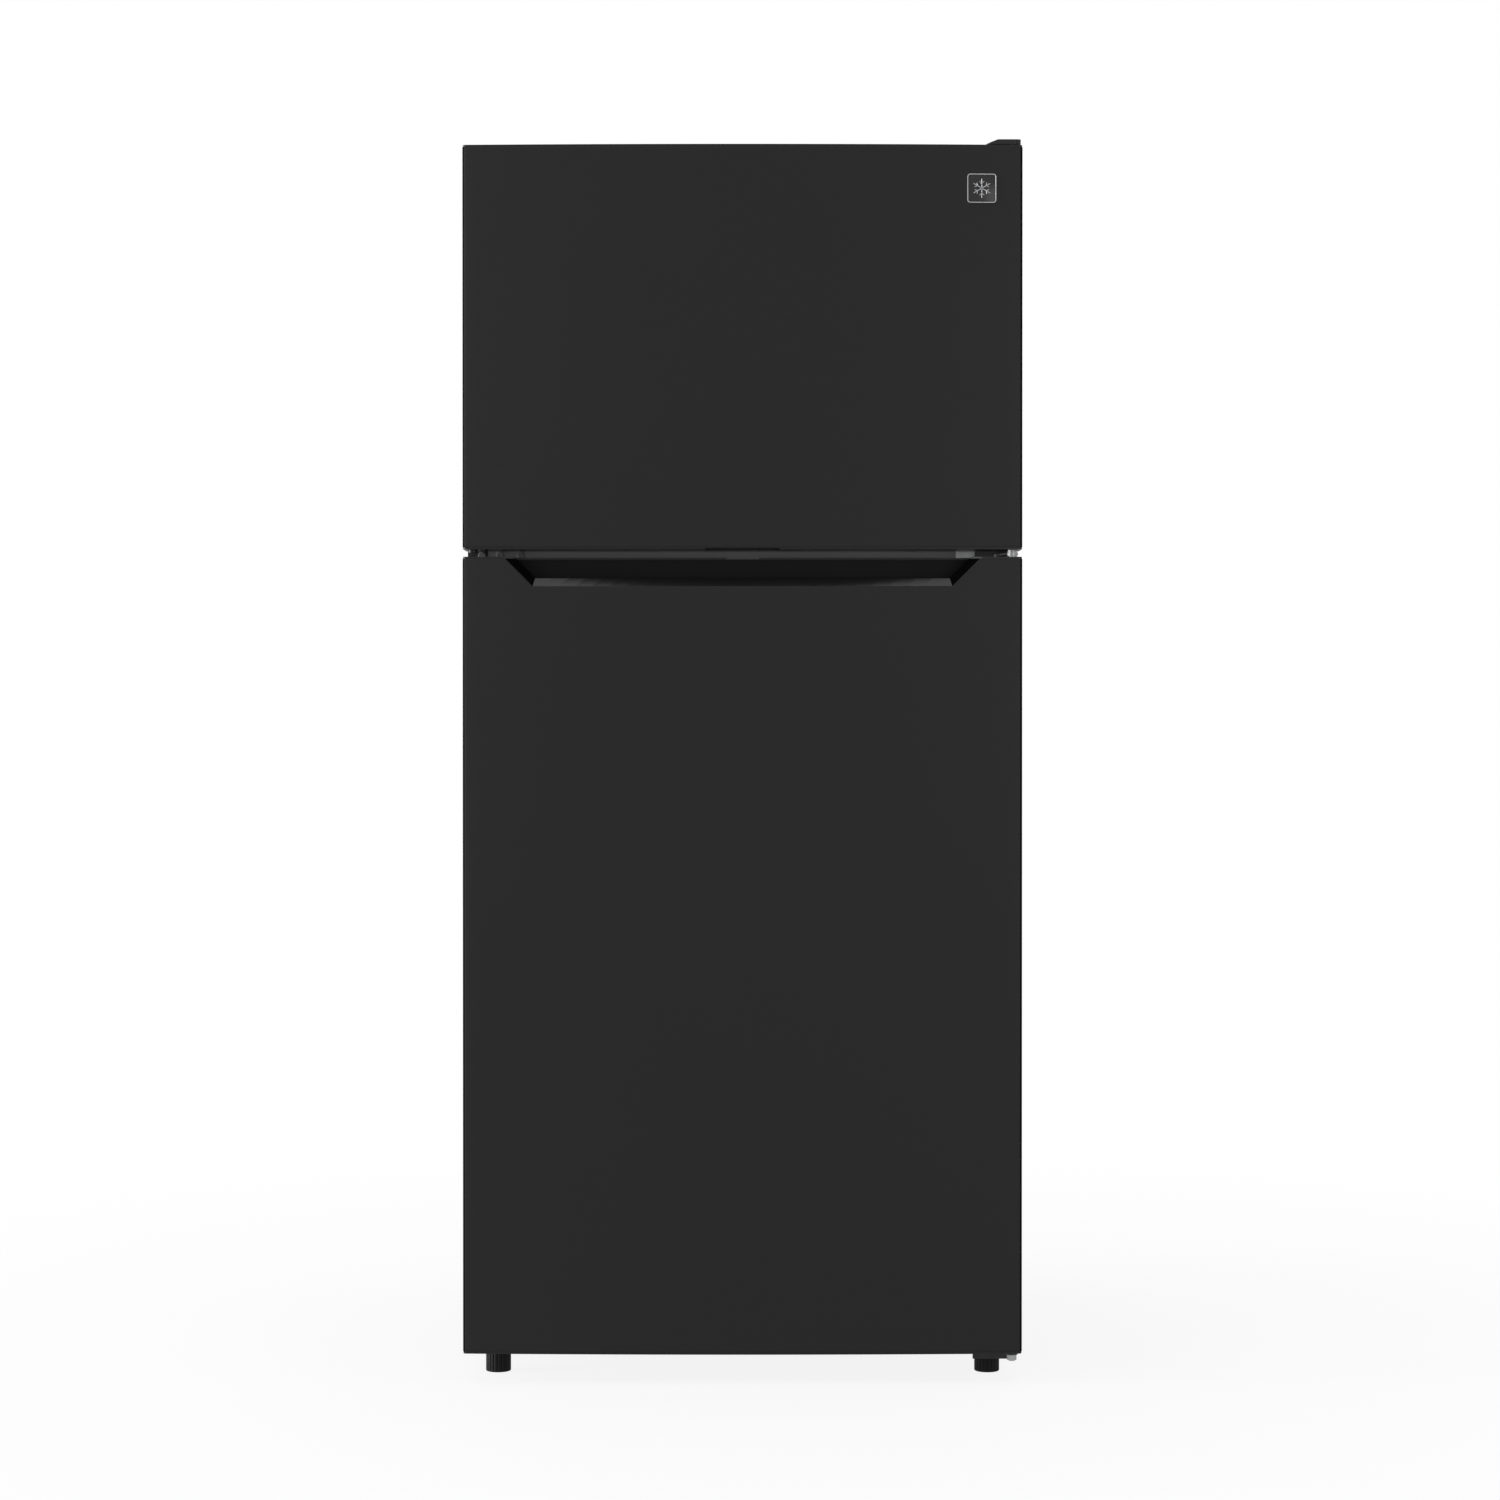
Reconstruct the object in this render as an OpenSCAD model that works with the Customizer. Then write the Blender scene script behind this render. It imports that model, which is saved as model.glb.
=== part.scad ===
// Top freezer refrigerator: a steel cabinet with two foamed compartments, two hinged doors, and the
// shelves, drawers, cooling circuit and running gear that it holds. Millimetres.
// The origin is the centre of the footprint on the floor. +Z is up, the doors face -Y, the hinges are at +X.
// Inside the modules Y is the depth, counted back from the foremost point of the door fronts.

/* [Overall] */
// Width of both doors
door_w = 756; // [680:1:860]
// Height of the refrigerator door
fridge_door_h = 1077; // [880:1:1250]
// Height of the freezer door
freezer_door_h = 545; // [450:1:680]
// Clear gap between the two doors
door_gap = 10; // [9:1:14]
// Height of the lower door's bottom edge over the floor
door_clear = 41; // [34:1:48]
// Depth of the cabinet behind the doors
case_d = 694; // [660:1:760]

/* [Doors] */
// Depth of a door at its side edges
door_t = 58; // [54:1:72]
// How far the middle of a door front stands out
door_bow = 8; // [5:1:14]
// Radius of the doors' front vertical edges
corner_r = 5; // [3:0.5:8]
// Thickness of the steel door skin
skin_t = 1; // [0.8:0.1:1.4]
// Thickness of the end caps' outer plate
cap_lip = 2.5; // [2:0.1:3.5]
// Height of the end caps' skirt inside the skin
cap_skirt = 14; // [10:1:20]
// Compressed thickness of the door gaskets
gasket_t = 12; // [10:1:15]
// How far the door liners' ribs reach into the cabinet
rib_d = 45; // [30:1:55]
// Depth of the upper door bins
bin_d = 104; // [80:1:112]
// Depth of the lowest door bin, in front of the drawers
low_bin_d = 80; // [60:1:90]

/* [Handle] */
// Half width of the handle pocket at the door's top edge
pocket_hw = 323; // [220:1:326]
// Height of the handle pocket's opening in the door front
pocket_h = 40; // [30:1:55]
// Width of the bevel round the pocket's sides
pocket_bevel = 14; // [8:1:20]
// Rise of the bevelled lip from the door front to the finger groove
lip_rise = 11; // [6:1:16]
// Depth of the pocket's back wall behind the door front
pocket_d = 44; // [36:1:46]

/* [Hinges] */
// Distance of the hinge axis from the door's side edge
hinge_inset = 12; // [11:0.5:16]
// Depth of the hinge axis behind the corner of the door front
hinge_depth = 26; // [22:1:30]
// Radius of the hinge pins
pin_r = 4; // [3:0.25:4.5]
// Radial clearance of the pins in their bushings
pin_fit = 0.05; // [0.02:0.01:0.1]
// Thickness of the hinge plates
hinge_t = 3; // [2.5:0.1:3.5]

/* [Cabinet] */
// Thickness of the cabinet's steel sheet
sheet = 1; // [0.8:0.1:1.5]
// Insulated side wall of the refrigerator compartment
fridge_wall = 48; // [42:1:60]
// Insulated side wall of the freezer compartment
freezer_wall = 63; // [55:1:75]
// Height of the insulated divider between the compartments
mullion_h = 66; // [62:1:80]
// Thickness of the plastic compartment liners
liner_t = 2; // [1.5:0.1:3]
// Height of the compressor bay
bay_h = 239; // [225:1:260]
// Depth of the compressor bay
bay_d = 243; // [235:1:260]
// Number of full shelves above the drawers
shelf_count = 2; // [1:1:3]
// Thickness of the shelf glass
glass_t = 4; // [3:0.5:5]

/* [Running gear] */
// Radius of the levelling feet
foot_r = 17; // [14:1:20]
// Radius of the levelling feet's stud
stud_r = 5; // [4:0.5:6]
// Radius of the rear rollers
roller_r = 19; // [16:1:21]

/* [Hidden] */
$fn = 48;

// Widths and depths
half_w = door_w / 2;
case_hw = half_w - 1.5;
door_back = door_bow + door_t;
case_front = door_back + gasket_t;
case_rear = case_front + case_d;
panel_bead = 4;
front_y = -(case_rear + panel_bead) / 2;
bow_r = (half_w * half_w + door_bow * door_bow) / (2 * door_bow);

// Heights
fridge_z = [door_clear, door_clear + fridge_door_h];
freezer_z = [fridge_z[1] + door_gap, fridge_z[1] + door_gap + freezer_door_h];
case_z = [door_clear + 9, freezer_z[1] + 2];
mullion_z = (fridge_z[1] + freezer_z[0]) / 2;

// Compartments, to the inner faces of their liners
fridge_hw = case_hw - fridge_wall;
freezer_hw = case_hw - freezer_wall;
floor_wall = 62;
top_wall = 62;
rear_wall = 63;
fridge_in = [case_z[0] + floor_wall, mullion_z - mullion_h / 2];
freezer_in = [mullion_z + mullion_h / 2, case_z[1] - top_wall];
cavity_back = case_rear - rear_wall;
hump_wall = 65;
bay_front = case_rear - bay_d;
base_t = 1.5;
bay_z = [case_z[0] + base_t, case_z[0] + bay_h];
hump_front = bay_front - hump_wall;
hump_top = bay_z[1] + 45;

// Sheet metal at the front
flange_w = 28;
rail_hw = case_hw - flange_w;
rail_h = 30;
mullion_rail_h = mullion_h - 6;

// Door build-up
door_liner_t = 2;
part_gap = 0.05;
skirt_t = 2.5;
seal_gap = 0.4;
gasket_w = 18;
gasket_edge = 6;
rib_w = 30;
rib_hw_fridge = fridge_hw - 24;
rib_hw_freezer = freezer_hw - 26;
rib_gap_z = 22;
bin_t = 2.5;
bin_side_gap = 1;

// Hinge geometry
hinge_x = half_w - hinge_inset;
hinge_y = door_bow + hinge_depth;
hinge_end_r = 8;
bush_r = pin_r + 3.5;
bush_l = 16;
washer_r = 7;
flange_h = 20;
middle_screws_x = [half_w - 75, half_w - 53, half_w - 37];
plug_x = [half_w - 75, half_w - 46, half_w - 21];
middle_flange_x = [half_w - 86, half_w - 18];
middle_cover_x = [half_w - 60, half_w - 14];
middle_plate_z = [mullion_z - hinge_t / 2, mullion_z + hinge_t / 2];
top_plate_z = [case_z[1], case_z[1] + hinge_t];
top_cover_h = 11;
top_cover_nose = 6.5;
top_cover_ramp = 40;
top_cover_y = [door_bow + 6, case_front + 72];
top_screws_y = [case_front + 14, case_front + 34, case_front + 54];
top_screws_x = half_w - 20.5;
bottom_arm_z = [door_clear - 5.5, door_clear - 5.5 + hinge_t];
bottom_plate_z = [case_z[0] - hinge_t, case_z[0]];
bottom_screws = [[half_w - 22, case_front + 18], [half_w - 22, case_front + 46], [half_w - 66, case_front + 46]];
screw_r = 2.5;

// Running gear
foot_x = half_w - 41;
foot_y = case_front + 27;
foot_top = door_clear + 2;
stud_top = case_z[0] + 26;
roller_x = case_hw - 46;
roller_y = case_rear - 70;
roller_w = 20;
axle_r = 3.5;

// Shelves and drawers
shelf_front = case_front + 112;
shelf_back = cavity_back - 14;
shelf_h = 16;
drawer_lid_z = hump_top + 12;
control_z = [fridge_in[1] - 40, fridge_in[1]];
shelf_pitch = (control_z[0] - drawer_lid_z) / (shelf_count + 1);
shelf_zs = [for (i = [0:shelf_count]) drawer_lid_z + i * shelf_pitch];
shelf_hw = fridge_hw - 2;
shelf_rim = 14;
ledge_w = 8;
drawer_grip = 12;
drawer_front = door_back + low_bin_d + 60;
drawer_back = hump_front - 8;
drawer_z = [fridge_in[0] + 1, drawer_lid_z - 12];
drawer_hw = (fridge_hw - ledge_w) / 2;
drawer_t = 2.5;

// Freezer fittings
evap_cover_y = cavity_back - 85;
evap_cover_t = 3;
evap_fan_z = freezer_in[1] - 90;
freezer_shelf_z = (freezer_in[0] + freezer_in[1]) / 2;

// Control box under the refrigerator compartment's ceiling
control_y = [case_front + 252, case_front + 440];
control_hw = 110;
knob_x = 62;
knob_r = 16;
knob_l = 14;
knob_shaft_r = 3;

// Fans
fan_bay_x = 20;
fan_bay_z = bay_z[0] + 118;
fan_bay_y = bay_front + 120;

// ---------------------------------------------------------------- helpers

// A box between two values on each axis
module block(x, y, z) translate([x[0], y[0], z[0]]) cube([x[1] - x[0], y[1] - y[0], z[1] - z[0]]);

// A rectangular frame that faces the depth, w wide all round
module frame_ring(hw, y, z, w) difference() {
    block([-hw, hw], y, z);
    block([-hw + w, hw - w], [y[0] - 1, y[1] + 1], [z[0] + w, z[1] - w]);
}

// Extrudes an outline drawn in width and height along the depth
module along_depth(y) translate([0, y[1], 0]) rotate([90, 0, 0]) linear_extrude(y[1] - y[0]) children();

// Rectangle with round corners, centred
module round_rect(w, h, r) {
    square([w, h - 2 * r], center = true);
    square([w - 2 * r, h], center = true);
    for (x = [-1, 1], y = [-1, 1]) translate([x * (w / 2 - r), y * (h / 2 - r)]) circle(r);
}

// A tube through a list of points, with slightly thicker elbows
module pipe(points, r) {
    for (i = [0:len(points) - 2]) {
        leg = points[i + 1] - points[i];
        flat = norm([leg[0], leg[1]]);
        translate(points[i]) rotate([0, atan2(flat, leg[2]), atan2(leg[1], leg[0])])
            cylinder(h = norm(leg), r = r, $fn = 16);
        if (i > 0) translate(points[i]) sphere(1.2 * r, $fn = 16);
    }
}

// Depth of the bowed door front at a place across its width
function bow_at(x) = bow_r - sqrt(bow_r * bow_r - x * x);

// Outline of the bowed front with its two rounded corners, drawn in by an inset, from left to right
function front_outline(inset) = let (
    r = corner_r - inset,
    flat_hw = half_w - corner_r,
    arc_y = bow_r - sqrt(pow(bow_r - corner_r, 2) - flat_hw * flat_hw),
    end_a = asin(flat_hw / (bow_r - corner_r)),
    corner_a = [for (i = [0:6]) i * (90 - end_a) / 6]
) concat(
    [for (a = corner_a) [-flat_hw - r * cos(a), arc_y - r * sin(a)]],
    [for (i = [1:27]) let (a = end_a * (i / 14 - 1)) [(bow_r - inset) * sin(a), bow_r - (bow_r - inset) * cos(a)]],
    [for (i = [6:-1:0]) [flat_hw + r * cos(corner_a[i]), arc_y - r * sin(corner_a[i])]]
);

// Door plan, drawn in by an inset from its front and sides
module door_plan(inset = 0, back = door_back)
    polygon(concat(front_outline(inset), [[half_w - inset, back], [-half_w + inset, back]]));

// A slab of the door plan between two heights
module door_slab(z, inset = 0, back = door_back) translate([0, 0, z[0]])
    linear_extrude(z[1] - z[0]) door_plan(inset, back);

// Hexagon head screw with a washer face, standing on z = 0
module screw_head() {
    cylinder(h = 1, r = 2.2 * screw_r);
    difference() {
        cylinder(h = 3, r = 1.8 * screw_r, $fn = 6);
        for (a = [0, 90]) rotate(a) translate([-2, -0.5, 2]) cube([4, 1, 2]);
    }
}

// ---------------------------------------------------------------- cabinet shell

module outer_case() color([0.09, 0.09, 0.095]) difference() {
    block([-case_hw, case_hw], [case_front, case_rear], case_z);
    block([-case_hw + sheet, case_hw - sheet], [case_front + sheet, case_rear + 1], [case_z[0] - 1, case_z[1] - sheet]);
    block([-rail_hw, rail_hw], [case_front - 1, case_front + 5], [case_z[0] - 1, case_z[1] - flange_w]);
}

module back_panel() color([0.62, 0.63, 0.64]) {
    panel_x = case_hw - sheet;
    block([-panel_x, panel_x], [case_rear - sheet, case_rear], [bay_z[1], case_z[1] - sheet]);
    for (x = [-0.62, 0, 0.62]) translate([x * panel_x, 0, (bay_z[1] + case_z[1]) / 2])
        along_depth([case_rear, case_rear + panel_bead]) round_rect(26, case_z[1] - bay_z[1] - 160, 12);
}

module machine_room_cover() color([0.33, 0.34, 0.35]) {
    cover_x = case_hw - sheet;
    slot_w = 120;
    difference() {
        block([-cover_x, cover_x], [case_rear - sheet, case_rear], bay_z);
        for (side = [-1, 1], i = [0:8]) translate([side * 200, 0, bay_z[0] + 48 + i * 18])
            along_depth([case_rear - 5, case_rear + 5]) round_rect(slot_w, 7, 3.4);
    }
    for (x = [-cover_x + 10, 0, cover_x - 10], z = [bay_z[0] + 12, bay_z[1] - 12])
        translate([x, case_rear, z]) rotate([-90, 0, 0]) screw_head();
}

module base_pan() color([0.16, 0.16, 0.165]) {
    pan_x = case_hw - sheet;
    difference() {
        block([-pan_x, pan_x], [case_front + sheet, case_rear - sheet], [case_z[0], case_z[0] + base_t]);
        for (x = [-foot_x, foot_x]) translate([x, foot_y, case_z[0] - 1]) cylinder(h = 9, r = stud_r + 0.1);
        for (i = [0:7]) translate([-250 + i * 22, bay_front + 120, case_z[0] - 1])
            linear_extrude(5) round_rect(9, 150, 4);
    }
    block([-rail_hw, rail_hw], [case_front, case_front + sheet], [case_z[0], case_z[0] + rail_h]);
    for (x = [-foot_x, foot_x]) translate([x, foot_y, case_z[0] + base_t]) difference() {
        cylinder(h = 10, r = 11, $fn = 6);
        translate([0, 0, -1]) cylinder(h = 20, r = stud_r + 0.1);
    }
    translate([-foot_x, foot_y, bottom_plate_z[0]]) difference() {
        linear_extrude(hinge_t) round_rect(62, 52, 5);
        translate([0, 0, -1]) cylinder(h = 9, r = stud_r + 0.1);
    }
}

module fridge_space(grow) {
    block([-fridge_hw - grow, fridge_hw + grow], [case_front - 1, cavity_back + grow], [hump_top - grow, fridge_in[1] + grow]);
    block([-fridge_hw - grow, fridge_hw + grow], [case_front - 1, hump_front + grow], [fridge_in[0] - grow, hump_top + 1]);
}

module freezer_space(grow)
    block([-freezer_hw - grow, freezer_hw + grow], [case_front - 1, cavity_back + grow], [freezer_in[0] - grow, freezer_in[1] + grow]);

module foam_insulation() color([0.93, 0.85, 0.62]) difference() {
    foam_x = case_hw - sheet;
    block([-foam_x, foam_x], [case_front + liner_t, case_rear - sheet], [case_z[0] + base_t, case_z[1] - sheet]);
    fridge_space(liner_t);
    freezer_space(liner_t);
    block([-foam_x - 1, foam_x + 1], [bay_front, case_rear], [case_z[0], bay_z[1]]);
    for (x = [-foot_x, foot_x]) translate([x, foot_y, case_z[0]]) cylinder(h = 40, r = 14);
}

// Rails moulded in the liner, one pair under each shelf
module shelf_rails() for (z = shelf_zs, side = [-1, 1])
    block([min(side * fridge_hw, side * (fridge_hw - ledge_w)), max(side * fridge_hw, side * (fridge_hw - ledge_w))],
        [shelf_front + 20, cavity_back - 6], [z - 12, z]);

module fridge_liner() color([0.93, 0.94, 0.94]) {
    difference() {
        union() {
            intersection() {
                fridge_space(liner_t);
                block([-case_hw, case_hw], [case_front, case_rear], case_z);
            }
            block([-rail_hw, rail_hw], [case_front, case_front + liner_t],
                [case_z[0] + rail_h, mullion_z - mullion_rail_h / 2]);
        }
        fridge_space(0);
    }
    difference() {
        shelf_rails();
        block([-fridge_hw, fridge_hw], [hump_front, cavity_back], [hump_top - 9, hump_top]);
    }
}

module freezer_liner() color([0.93, 0.94, 0.94]) {
    difference() {
        union() {
            intersection() {
                freezer_space(liner_t);
                block([-case_hw, case_hw], [case_front, case_rear], case_z);
            }
            block([-rail_hw, rail_hw], [case_front, case_front + liner_t],
                [mullion_z + mullion_rail_h / 2, case_z[1] - flange_w]);
        }
        freezer_space(0);
    }
    for (side = [-1, 1]) block([min(side * freezer_hw, side * (freezer_hw - ledge_w)), max(side * freezer_hw, side * (freezer_hw - ledge_w))],
        [case_front + 80, evap_cover_y - 2], [freezer_shelf_z - 12, freezer_shelf_z]);
}

module mullion_rail() color([0.12, 0.12, 0.125])
    block([-rail_hw, rail_hw], [case_front, case_front + sheet], [mullion_z - mullion_rail_h / 2, mullion_z + mullion_rail_h / 2]);

module spare_hinge_plugs() color([0.11, 0.11, 0.115]) for (x = plug_x)
    translate([-x, case_front, mullion_z]) rotate([90, 0, 0]) cylinder(h = 2, r1 = 5.5, r2 = 4.5);

// ---------------------------------------------------------------- hinges

// Plan of a hinge arm: a round end on the hinge axis, widening towards its root
module hinge_arm_plan(root_x, root_y) {
    translate([hinge_x, hinge_y]) circle(hinge_end_r);
    polygon([
        [hinge_x - hinge_end_r, hinge_y], [hinge_x + hinge_end_r, hinge_y],
        [root_x[1], root_y], [root_x[0], root_y], [root_x[0], root_y - 8]
    ]);
}

module hinge_pin(z) translate([hinge_x, hinge_y, z[0]]) cylinder(h = z[1] - z[0], r = pin_r);

module hinge_washer(z) translate([hinge_x, hinge_y, z[0]]) difference() {
    cylinder(h = z[1] - z[0], r = washer_r);
    translate([0, 0, -1]) cylinder(h = 20, r = pin_r);
}

module top_hinge() color([0.7, 0.7, 0.72]) {
    root_x = [half_w - 33, half_w - 8];
    difference() {
        union() {
            translate([0, 0, top_plate_z[0]]) linear_extrude(hinge_t) {
                hinge_arm_plan(root_x, case_front + 6);
                translate([root_x[0], case_front + 5]) square([root_x[1] - root_x[0], 61]);
            }
            hinge_pin([freezer_z[1] - bush_l + 1, top_plate_z[1] + 1.5]);
        }
        for (y = top_screws_y) translate([top_screws_x, y, top_plate_z[0] - 1]) cylinder(h = 9, r = screw_r + 0.1);
    }
}

// Cover's outer form, drawn in by an inset: ramps at its front and inner side, and round corners in plan
module top_cover_body(inset) intersection() {
    top = case_z[1] + top_cover_h;
    low = case_z[1] - (inset > 0 ? 1 : 0);
    along_depth(top_cover_y) polygon([
        [half_w - 50 + 4 * inset, low], [half_w - 21 + inset, top - inset], [case_hw - inset, top - inset], [case_hw - inset, low]
    ]);
    translate([case_hw, 0, 0]) rotate([90, 0, -90]) linear_extrude(case_hw) polygon([
        [-top_cover_y[0], low - 1], [-top_cover_y[0], case_z[1] + top_cover_nose - inset],
        [-top_cover_y[0] - top_cover_ramp, top - inset], [-top_cover_y[1], top - inset], [-top_cover_y[1], low - 1]
    ]);
    translate([(half_w - 50 + case_hw) / 2, (top_cover_y[0] + top_cover_y[1]) / 2, case_z[1] - 2]) linear_extrude(top_cover_h + 4)
        round_rect(case_hw - half_w + 50 - 2 * inset, top_cover_y[1] - top_cover_y[0] - 2 * inset, 10 - inset);
}

module top_hinge_cover() color([0.045, 0.045, 0.05]) difference() {
    top_cover_body(0);
    top_cover_body(1.6);
}

module middle_hinge() color([0.72, 0.72, 0.74]) {
    difference() {
        block(middle_flange_x, [case_front - hinge_t, case_front], [mullion_z - flange_h / 2, mullion_z + flange_h / 2]);
        for (x = middle_screws_x) translate([x, case_front + 1, mullion_z]) rotate([90, 0, 0]) cylinder(h = 9, r = screw_r + 0.1);
    }
    translate([0, 0, middle_plate_z[0]]) linear_extrude(hinge_t)
        hinge_arm_plan([half_w - 30, half_w - 6], case_front - 1);
    hinge_pin([fridge_z[1] - bush_l + 1, freezer_z[0] + bush_l - 1]);
    hinge_washer([middle_plate_z[1], freezer_z[0] - 0.4]);
    hinge_washer([fridge_z[1] + 0.4, middle_plate_z[0]]);
}

module middle_hinge_cover() color([0.05, 0.05, 0.055]) {
    front = case_front - hinge_t - 5.5;
    zs = [mullion_z - flange_h / 2 + 1, mullion_z + flange_h / 2 - 1];
    difference() {
        block(middle_cover_x, [front, case_front - hinge_t], zs);
        block([middle_cover_x[0] + 1.5, middle_cover_x[1] - 1.5], [front + 1.5, case_front], [zs[0] + 1.5, zs[1] - 1.5]);
        block([half_w - 34, half_w], [front - 1, case_front], [middle_plate_z[0] - 0.3, middle_plate_z[1] + 0.3]);
    }
}

module bottom_hinge() color([0.14, 0.14, 0.145]) {
    web_x = [half_w - 62, half_w - 12];
    web_y = [case_front + 2, case_front + 2 + hinge_t];
    difference() {
        union() {
            translate([0, 0, bottom_arm_z[0]]) linear_extrude(hinge_t) {
                hinge_arm_plan([half_w - 48, half_w - 12], web_y[0]);
                translate([half_w - 48, web_y[0] - 1]) square([36, 2]);
            }
            block(web_x, web_y, [door_clear / 2, bottom_plate_z[1]]);
            block([half_w - 78, half_w - 8], [web_y[0], case_front + 60], bottom_plate_z);
            translate([hinge_x, hinge_y, door_clear - 13]) cylinder(h = 8, r = 6.5, $fn = 6);
            hinge_pin([door_clear - 14, fridge_z[0] + bush_l - 1]);
            translate([hinge_x, hinge_y, bottom_arm_z[1]]) cylinder(h = door_clear - bottom_arm_z[1] - 0.4, r = washer_r);
        }
        translate([foot_x, foot_y, case_z[0] - 9]) cylinder(h = 20, r = stud_r + 0.1);
        for (p = bottom_screws) translate([p[0], p[1], case_z[0] - 9]) cylinder(h = 20, r = screw_r + 0.1);
    }
}

module hinge_screws() color([0.75, 0.75, 0.77]) {
    for (y = top_screws_y) translate([top_screws_x, y, 0]) {
        translate([0, 0, top_plate_z[1]]) screw_head();
        translate([0, 0, top_plate_z[0]]) cylinder(h = hinge_t, r = screw_r);
    }
    for (x = middle_screws_x) translate([x, case_front - hinge_t, mullion_z]) rotate([90, 0, 0]) {
        screw_head();
        translate([0, 0, -hinge_t]) cylinder(h = hinge_t, r = screw_r);
    }
    for (p = bottom_screws) translate([p[0], p[1], bottom_plate_z[0]]) rotate([180, 0, 0]) {
        screw_head();
        translate([0, 0, -hinge_t]) cylinder(h = hinge_t, r = screw_r);
    }
}

// ---------------------------------------------------------------- running gear

// Fluted foot on a stud that screws into the base
module leveling_leg(x) color([0.06, 0.06, 0.06]) translate([x, foot_y, 0]) {
    flutes = 20;
    translate([0, 0, 3]) linear_extrude(foot_top - 3) difference() {
        circle(foot_r);
        for (i = [0:flutes - 1]) rotate(i * 360 / flutes) translate([foot_r + 0.8, 0]) circle(1.6, $fn = 16);
    }
    cylinder(h = 3, r1 = foot_r - 2.5, r2 = foot_r - 0.8);
    translate([0, 0, foot_top - 1]) cylinder(h = stud_top - foot_top + 1, r = stud_r);
}

module left_leveling_leg() leveling_leg(-foot_x);
module right_leveling_leg() leveling_leg(foot_x);

module roller_brackets() color([0.68, 0.68, 0.7]) for (side = [-1, 1]) translate([side * roller_x, roller_y, 0]) {
    for (x = [-roller_w / 2 - 4, roller_w / 2 + 2]) difference() {
        block([x, x + 2], [-16, 16], [roller_r - 8, case_z[0]]);
    }
    translate([-roller_w / 2 - 7, 0, roller_r]) rotate([0, 90, 0]) cylinder(h = roller_w + 14, r = axle_r);
}

module rear_roller(x) color([0.2, 0.2, 0.2]) translate([x - roller_w / 2, roller_y, roller_r]) rotate([0, 90, 0])
    rotate_extrude() polygon([
        [axle_r + 0.1, 0], [roller_r - 6, 0], [roller_r - 6, 2], [roller_r - 1.5, 2], [roller_r, 3.5],
        [roller_r, roller_w - 3.5], [roller_r - 1.5, roller_w - 2], [roller_r - 6, roller_w - 2],
        [roller_r - 6, roller_w], [axle_r + 0.1, roller_w]
    ]);

module rear_roller_left() rear_roller(-roller_x);
module rear_roller_right() rear_roller(roller_x);

// ---------------------------------------------------------------- compressor bay

comp_x = 215;
comp_y = bay_front + 118;
comp_r = 76;
comp_feet = [[-82, -62], [82, -62], [-82, 62], [82, 62]];
grommet_h = 14;
comp_z = bay_z[0] + grommet_h - 2;

module compressor() color([0.05, 0.05, 0.055]) translate([comp_x, comp_y, comp_z]) {
    difference() {
        linear_extrude(3) round_rect(190, 150, 14);
        for (p = comp_feet) translate([p[0], p[1], -1]) cylinder(h = 6, r = 8);
    }
    translate([0, 0, 2]) rotate_extrude($fn = 64) polygon(concat(
        [[0, 0], [comp_r - 18, 0], [comp_r - 8, 4], [comp_r, 14], [comp_r, 84], [comp_r + 4, 84], [comp_r + 4, 92], [comp_r, 92]],
        [for (a = [0:9:90]) [comp_r * cos(a), 100 + 52 * sin(a)]]
    ));
    block([-26, 26], [-comp_r - 22, -comp_r + 12], [40, 92]);
}

module compressor_grommets() color([0.08, 0.08, 0.08]) for (p = comp_feet)
    translate([comp_x + p[0], comp_y + p[1], bay_z[0]]) {
        cylinder(h = grommet_h - 2, r = 12);
        cylinder(h = grommet_h + 1, r = 7.6);
        translate([0, 0, grommet_h + 1]) cylinder(h = 3, r = 11);
    }

module condenser_coil() color([0.72, 0.42, 0.25]) {
    runs = 7;
    pitch = 22;
    tube_r = 2.5;
    xs = [-340, -90];
    z0 = bay_z[0] + 62;
    for (y = [bay_front + 70, bay_front + 150]) {
        for (i = [0:runs - 1]) translate([xs[0], y, z0 + i * pitch]) rotate([0, 90, 0])
            cylinder(h = xs[1] - xs[0], r = tube_r, $fn = 16);
        for (i = [0:runs - 2]) translate([xs[i % 2 == 0 ? 1 : 0], y, z0 + (i + 0.5) * pitch])
            rotate([90, i % 2 == 0 ? 0 : 180, 0]) rotate([0, 0, -90]) rotate_extrude(angle = 180, $fn = 24)
                translate([pitch / 2, 0]) circle(tube_r, $fn = 16);
    }
    // joint between the two banks, then the line to the compressor, and the drier in the liquid line
    pipe([[xs[1], bay_front + 70, z0 + 6 * pitch], [xs[1] + 24, bay_front + 70, z0 + 6 * pitch],
        [xs[1] + 24, bay_front + 150, z0 + 6 * pitch], [xs[1], bay_front + 150, z0 + 6 * pitch]], tube_r);
    pipe([[xs[0], bay_front + 70, z0], [xs[0] - 14, bay_front + 70, z0], [xs[0] - 14, bay_front + 30, z0],
        [xs[0] - 14, bay_front + 30, bay_z[0] + 30], [comp_x, bay_front + 12, bay_z[0] + 30],
        [comp_x, bay_front + 12, comp_z + 28], [comp_x, comp_y - comp_r, comp_z + 28]], tube_r);
    pipe([[xs[0], bay_front + 150, z0], [xs[0] - 14, bay_front + 150, z0], [xs[0] - 14, bay_front + 200, z0],
        [xs[0] - 14, bay_front + 200, z0 + 40]], tube_r);
    translate([xs[0] - 14, bay_front + 200, z0 + 38]) cylinder(h = 90, r = 9);
    pipe([[xs[0] - 14, bay_front + 200, z0 + 126], [xs[0] - 14, bay_front + 200, bay_z[1]]], 1.5);
}

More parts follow.
